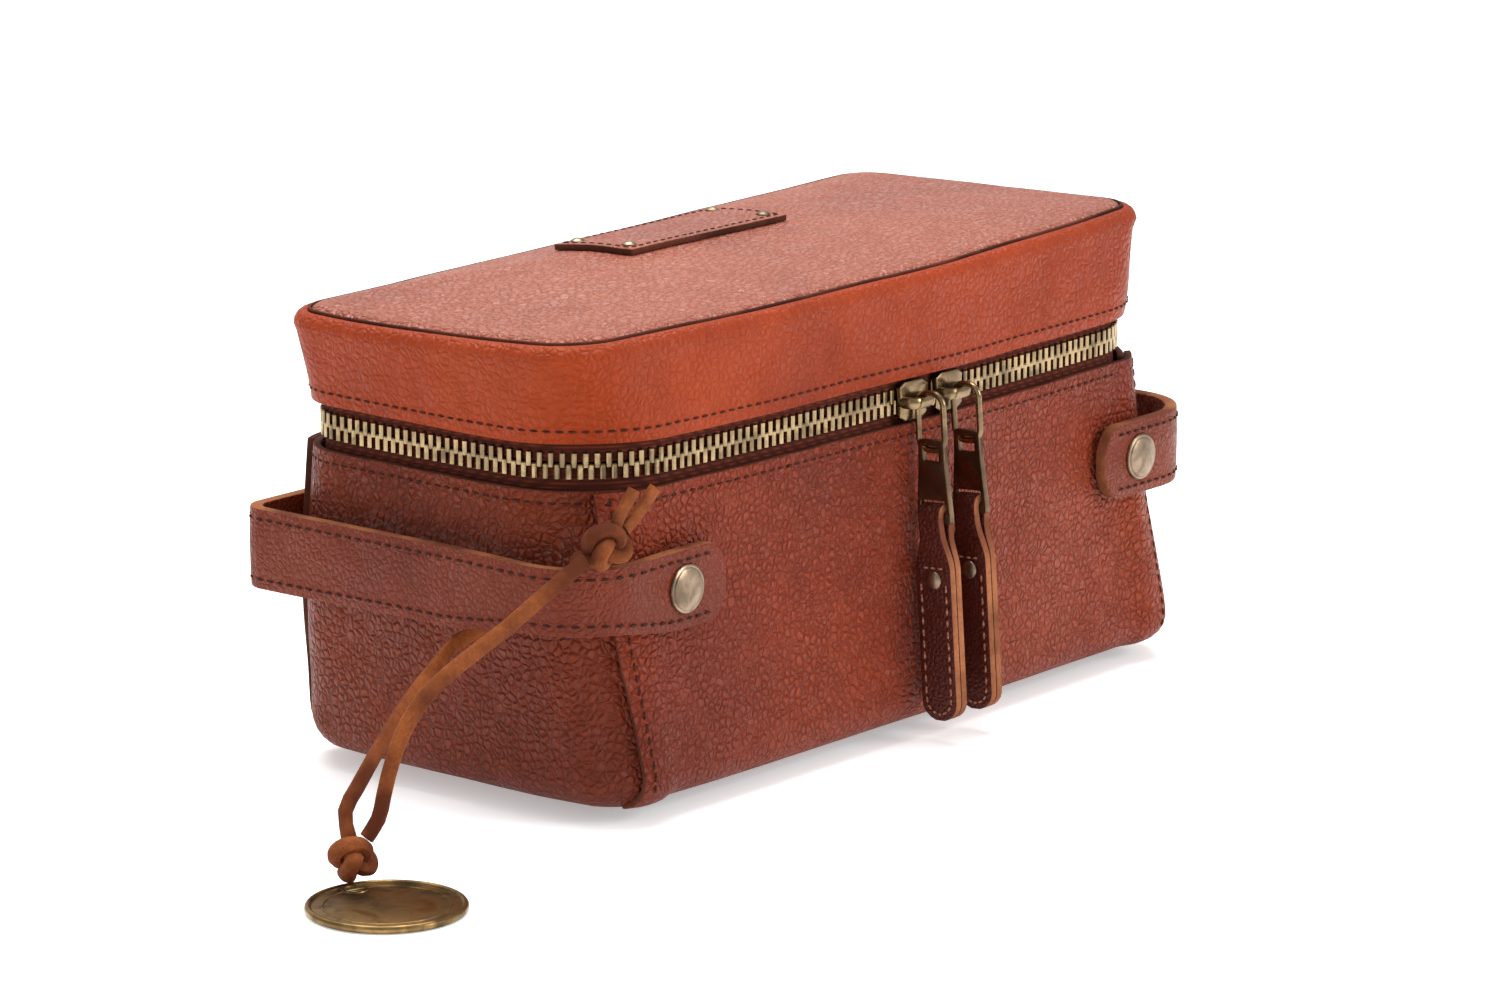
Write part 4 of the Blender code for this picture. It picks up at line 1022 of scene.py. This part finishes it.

# %% [markdown]
# ## Hinge gusset
# Behind the zip's two ends one strip of leather joins the lid to the body; on the real bag it bends
# when the lid opens. It is a single grid, fixed in place and carried by neither body.

# %% Gusset
ZIP_GAP = 0.01                  # turns left free beside the zip's ends
gusset_rows = []
for j in range(25):
    level = inset(zip_level(79 + 26 * j / 24), 2.8)
    gusset_rows.append(run(level, BACK_FROM + zip_reach(level) + ZIP_GAP,
                           BACK_TO - zip_reach(level) - ZIP_GAP, 80))
work = shaped_grid(80, 24, lambda i, j: gusset_rows[j][i])
face_away(work, (0, 0, 92))
gusset = piece("hinge_gusset", work, (HIDE_BODY, EDGE_DARK), None,
               ("hinge_gusset_lower", "hinge_gusset_upper"))
thicken(gusset, 1.2, 0.2)
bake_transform(gusset)

# %% [markdown]
# ## Handles
# A handle is one strap that runs from a riveted tab on the front, round the bag's end, to a
# tab on the back. Its width and lower edge change a little on the way, because it is bent by
# hand. The raw top edge is paler than the face.


# %% Straps
STRAP_FRONT, STRAP_BACK, STRAP_END, STRAP_Z = -59.6, 58.2, 130.4, 60
FRONT_BEND, TAB_LONG = 20, 16   # the front corner's radius; how far a tab passes its rivet
HANDLES = (("left", -1, 95, 6), ("right", 1, 100, 8))   # end, side, rivet and back corner's radius
STRAP_COLUMNS, STRAP_ROWS = 120, 10


def quarter(radius, steps=14):
    angles = [math.pi / 2 * i / steps for i in range(steps + 1)]
    return [(radius * math.sin(a), radius * (1 - math.cos(a))) for a in angles]


def handle_line(side, rivet_x, back_bend):
    """The strap's middle line, from the front tab round the bag's end to the back one."""
    tab_x = rivet_x - TAB_LONG
    points = [(tab_x, STRAP_FRONT)]
    points += [(STRAP_END - FRONT_BEND + u, STRAP_FRONT + v) for u, v in quarter(FRONT_BEND)]
    points += [(STRAP_END - back_bend + u, STRAP_BACK - v) for u, v in reversed(quarter(back_bend))]
    points.append((tab_x, STRAP_BACK))
    dense = []
    for (ax, ay), (bx, by) in zip(points, points[1:]):
        dense += [Vector((side * (ax + (bx - ax) * i / 6), ay + (by - ay) * i / 6, STRAP_Z))
                  for i in range(6)]
    return spaced(dense + [Vector((side * tab_x, STRAP_BACK, STRAP_Z))], STRAP_COLUMNS)


def strap_edges(side, p, share):
    """The strap's lower and upper edge at a point, from its middle."""
    low, high = -10.5, 10.2
    if side < 0:
        bend = ease(-p.y, 10, 45) * ease(-p.x, 96, 122)
        low += 2.8 * bend
        high -= 0.6 * bend
        low -= 0.6 * ease(p.y, 0, 50)
    tab = min(share, 1 - share) * 250 / 9.0
    rounded = math.sqrt(max(1 - (1 - min(tab + 0.05, 1.0)) ** 2, 0.0))
    return low * rounded, high * rounded


def strap(name, side, rivet_x, back_bend):
    """Makes a strap and returns its middle line."""
    line = handle_line(side, rivet_x, back_bend)

    def point(i, j):
        p = line[i]
        low, high = strap_edges(side, p, i / STRAP_COLUMNS)
        bulge = side * 0.35 * math.sin(j / STRAP_ROWS * math.pi) if abs(p.x) > 120 else 0
        return p + Vector((bulge, 0, low + (high - low) * j / STRAP_ROWS))

    work = face_away(shaped_grid(STRAP_COLUMNS, STRAP_ROWS, point))
    made = piece(name, work, (HIDE_HANDLE, EDGE_TAN), name, (name,))
    thicken(made, 3.4, 0.7, 0.0)
    return line


for end, side, rivet_x, back_bend in HANDLES:
    name = "handle_" + end
    line = strap(name, side, rivet_x, back_bend)
    work = bmesh.new()
    for low_edge in (True, False):
        for i in range(4, STRAP_COLUMNS - 4, 2):
            a, b = line[i], line[i + 1]
            low, high = strap_edges(side, a, i / STRAP_COLUMNS)
            lift = Vector((0, 0, low + 2.6 if low_edge else high - 2.6))
            out = outward(a, b) * side
            if out.dot(a - Vector((side * 95, 0, 0))) < 0:
                out = -out
            stitch(work, (a + b) / 2 + lift + out * 1.95, b - a, out, long=2.6, wide=0.9)
    piece(name + "_stitches", work, (THREAD_DARK,), name, sharp=180)

# %% Handle rivets
CAP = [(0, 1.7), (1.8, 1.65), (3.4, 1.5), (4.8, 1.2), (5.4, 0.95), (5.55, 0.7), (5.9, 0.75),
       (6.25, 0.6), (6.4, 0.3), (6.4, 0),
       (2, 0), (2, -8.5), (4.6, -8.5), (4.6, -9.5), (0, -9.5)]
for end, side, rivet_x, _ in HANDLES:
    for face, y in (("front", STRAP_FRONT), ("back", STRAP_BACK)):
        sign = math.copysign(1, y)
        work = turned(CAP)
        work.transform(Matrix.Translation((side * rivet_x, y + sign * 1.9, STRAP_Z))
                       @ Matrix.Rotation(-sign * math.pi / 2, 4, "X"))
        name = f"handle_rivet_{end}_{face}"
        piece(name, work, (CAP_BRASS,), "bag_body", (name,), sharp=30)

# %% The lace's turn round the strap
loop_line = [(-128.5, -61.5, 73.5), (-129.6, -58.5, 73.6), (-128.6, -54, 73.2), (-125, -50.5, 71),
             (-121.5, -48.8, 67.5)]
work = sweep(even_route(loop_line, 18), LACE_HALF_WIDE, LACE_HALF_DEEP, (0.7, 0.2, 0.5),
             square=LACE_SQUARE)
piece("lace_loop", work, (SUEDE,), "handle_left")

# %% [markdown]
# ## Sliders and pulls
# Each slider is two plates joined by a post, with a bridge that holds a wire ring. From the ring
# hangs a flat plate with a square eye, and a leather strip is folded through the plate's slot,
# then riveted and stitched. Everything here is shaped about the bridge bar, then hung in place.


# %% Slider
def rounded_loop(width, height, radius, centre=(0.0, 0.0), steps=6):
    points = []
    for quarter_turn, (sx, sy) in enumerate(((1, 1), (-1, 1), (-1, -1), (1, -1))):
        cx, cy = centre[0] + sx * (width / 2 - radius), centre[1] + sy * (height / 2 - radius)
        for i in range(steps + 1):
            angle = (quarter_turn + i / steps) * math.pi / 2
            points.append((cx + radius * math.cos(angle), cy + radius * math.sin(angle)))
    return points


TO_YZ = Matrix(((0, 0, 1, 0), (1, 0, 0, 0), (0, 1, 0, 0), (0, 0, 0, 1)))
TO_XZ = Matrix(((1, 0, 0, 0), (0, 0, -1, 0), (0, 1, 0, 0), (0, 0, 0, 1)))


def slider_shape():
    """Outer and inner plates, the post and the bridge."""
    body = [(-5.7, -4.0), (-3.6, -5.3), (3.6, -5.3), (5.7, -4.0), (5.2, 0), (5.7, 4.0), (3.6, 5.3),
            (-3.6, 5.3), (-5.7, 4.0), (-5.2, 0)]
    parts = []
    for y in (4.4, 9.8):
        plate = flat_shape([body], 1.8, 0.45)
        plate.transform(Matrix.Translation((0, y, 0)) @ TO_XZ)
        parts.append(plate)
    post = bmesh.new()
    bmesh.ops.create_cube(post, size=1.0, matrix=Matrix.Translation((0, 7.1, 0))
                          @ Matrix.Diagonal((7.6, 5.0, 0.5, 1)))
    bmesh.ops.bevel(post, geom=post.edges[:], offset=0.1, segments=2, profile=0.5,
                    affect="EDGES", material=-1)
    route = [(-4.3, 4.2, 0), (-4.3, 2.0, 0), (-3.6, 0.5, 0), (-2.2, 0, 0), (2.2, 0, 0),
             (3.6, 0.5, 0), (4.3, 2.0, 0), (4.3, 4.2, 0)]
    bridge = sweep(even_route(route, 24), 1.6, 1.15, (0, 0, 1), square=0.7)
    return join_meshes(parts + [post, bridge])


def swing(x):
    """Where a pull hangs: at the bridge bar."""
    y = outline(RIM, x / 92.5).y - 3.8
    return Matrix.Translation((x, y, 92))


LEAN = Matrix.Rotation(math.radians(-4), 4, "X")
RING_MIDDLE_Y, RING_BOTTOM_Z, PLATE_LONG = -1.9, -12.85, 19.5


# %% Plate and strip
def plate_shape():
    """A flat plate with a square eye for the ring and a slot for the leather."""
    shape = [(-3.6, 2.9), (3.6, 2.9), (4.2, 2.2), (4.5, -4.5), (5.6, -PLATE_LONG + 2.4),
             (5.5, -PLATE_LONG + 0.4), (4.9, -PLATE_LONG), (-4.9, -PLATE_LONG),
             (-5.5, -PLATE_LONG + 0.4), (-5.6, -PLATE_LONG + 2.4), (-4.5, -4.5), (-4.2, 2.2)]
    eye = rounded_loop(5.0, 4.0, 0.6, (0, -0.9))
    slot = rounded_loop(8.0, 3.4, 0.8, (0, -PLATE_LONG + 2.75 + 1.7))
    work = flat_shape([shape, eye, slot], 1.7, 0.28)
    work.transform(TO_YZ)
    return work


def strip_line():
    """The strip's middle line: up one side, over the plate's bottom bar and down the other."""
    half = [(1.22, -54.6), (1.22, -40), (1.22, -26), (1.22, -16), (1.3, -10), (1.6, -6), (2.0, -3),
            (2.2, -0.6), (2.1, 1.3), (1.3, 2.5), (0, 2.85)]
    points = half + [(-x, z) for x, z in reversed(half[:-1])]
    return even_route([(x, 0, z) for x, z in points], 150)


def strip_half_width(z):
    wide = 3.5 + 2.25 * ease(-z, 3.5, 14)
    end = min((z + 54.7) / 5.2, 1.0)
    return wide * math.sqrt(max(1 - (1 - max(end, 0.03)) ** 2, 0.0))


def strip_shape():
    line = strip_line()

    def point(i, j):
        half = strip_half_width(line[i].z)
        return Vector((line[i].x, -half + 2 * half * j / 8, line[i].z))

    work = shaped_grid(150, 8, point)
    bmesh.ops.recalc_face_normals(work, faces=work.faces)
    if max(work.faces, key=lambda f: f.calc_center_median().z).normal.z < 0:
        bmesh.ops.reverse_faces(work, faces=work.faces)
    return work


def strip_stitches():
    """Rows near both edges and round the end on each face, and one across above the rivet."""
    work = bmesh.new()
    for face in (-1, 1):
        x = face * 2.42
        border = [(-4.1, -17 - 3.1 * i) for i in range(11)]
        border += [(-4.1 * math.cos(a), -49 - 3.9 * math.sin(a))
                   for a in (math.radians(d) for d in (20, 50, 80, 100, 130, 160))]
        border += [(4.1, -17 - 3.1 * i) for i in range(10, -1, -1)]
        across = [(-3.6 + 2.4 * i, -13.2) for i in range(4)]
        for row in (border, across):
            for (ay, az), (by, bz) in zip(row, row[1:]):
                a, b = Vector((x, ay, az)), Vector((x, by, bz))
                stitch(work, (a + b) / 2, b - a, Vector((face, 0, 0)),
                       long=(b - a).length * 0.8, high=0.6)
    return work


# %% Hanging the pulls
for end, x in SLIDERS.items():
    at = swing(x)
    work = slider_shape()
    work.transform(at)
    piece("slider_" + end, work, (ANTIQUE,), "slider_" + end, ("slider_" + end,))
    loop = [Vector((0, y, z)) for y, z in rounded_loop(8.5, 15.2, 3.4, (-1.9, -5.25), 8)]
    work = sweep(loop, 0.85, 0.85, (1, 0, 0), closed=True)
    work.transform(at @ LEAN)
    piece("ring_" + end, work, (ANTIQUE,), "ring_" + end, ("ring_" + end,))
    hang = at @ LEAN @ Matrix.Translation((0, RING_MIDDLE_Y, RING_BOTTOM_Z))
    body = "pull_" + end
    work = plate_shape()
    work.transform(hang)
    piece("pull_plate_" + end, work, (DARK_BRONZE,), body, ("pull_plate_" + end,))
    loop_place = hang @ Matrix.Translation((0, 0, -PLATE_LONG + 1.375))
    work = strip_shape()
    work.transform(loop_place)
    made = piece("pull_strip_" + end, work, (HIDE_PULL, EDGE_TAN), body,
                 ("pull_strip_" + end,))
    thicken(made, 2.2, 0.35, 0.0)
    work = strip_stitches()
    work.transform(loop_place)
    piece("pull_stitches_" + end, work, (THREAD_PINK,), body, sharp=180)
    cap = turned([(0, 3.4), (0.9, 3.3), (1.8, 3.0), (2.4, 2.6), (2.5, 2.4), (1, 2.4), (1, -2.4),
                  (2.5, -2.4), (2.4, -2.6), (1.8, -3.0), (0.9, -3.3), (0, -3.4)], 32)
    cap.transform(loop_place @ Matrix.Translation((0, 0, -16.5))
                  @ Matrix.Rotation(math.pi / 2, 4, "Y"))
    piece("pull_rivet_" + end, cap, (CAP_BRASS,), body, ("pull_rivet_" + end,))

# %% [markdown]
# ## Pieces kept from the model
# The feet, the base with its board and the linings have the right shape already. They keep their
# meshes and only get a real finish.

# %% Finishes for kept pieces
# the base takes the ends' darker copy of the leather: painted shade
KEPT = {"base_panel": HIDE_END_PAINTED_SHADE, "base_board": BOARD, "body_lining": LINING, "lid_lining": LINING}
KEPT.update({f"foot_{f}_{e}": DARK_BRONZE for f in ("front", "back") for e in ("left", "right")})
for name, finish in KEPT.items():
    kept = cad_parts[name]
    for slot_number in range(len(kept.material_slots)):
        kept.material_slots[slot_number].material = finish
print("kept:", ", ".join(KEPT))

# %% Sizes and finish
print("visual box:", plain_box())
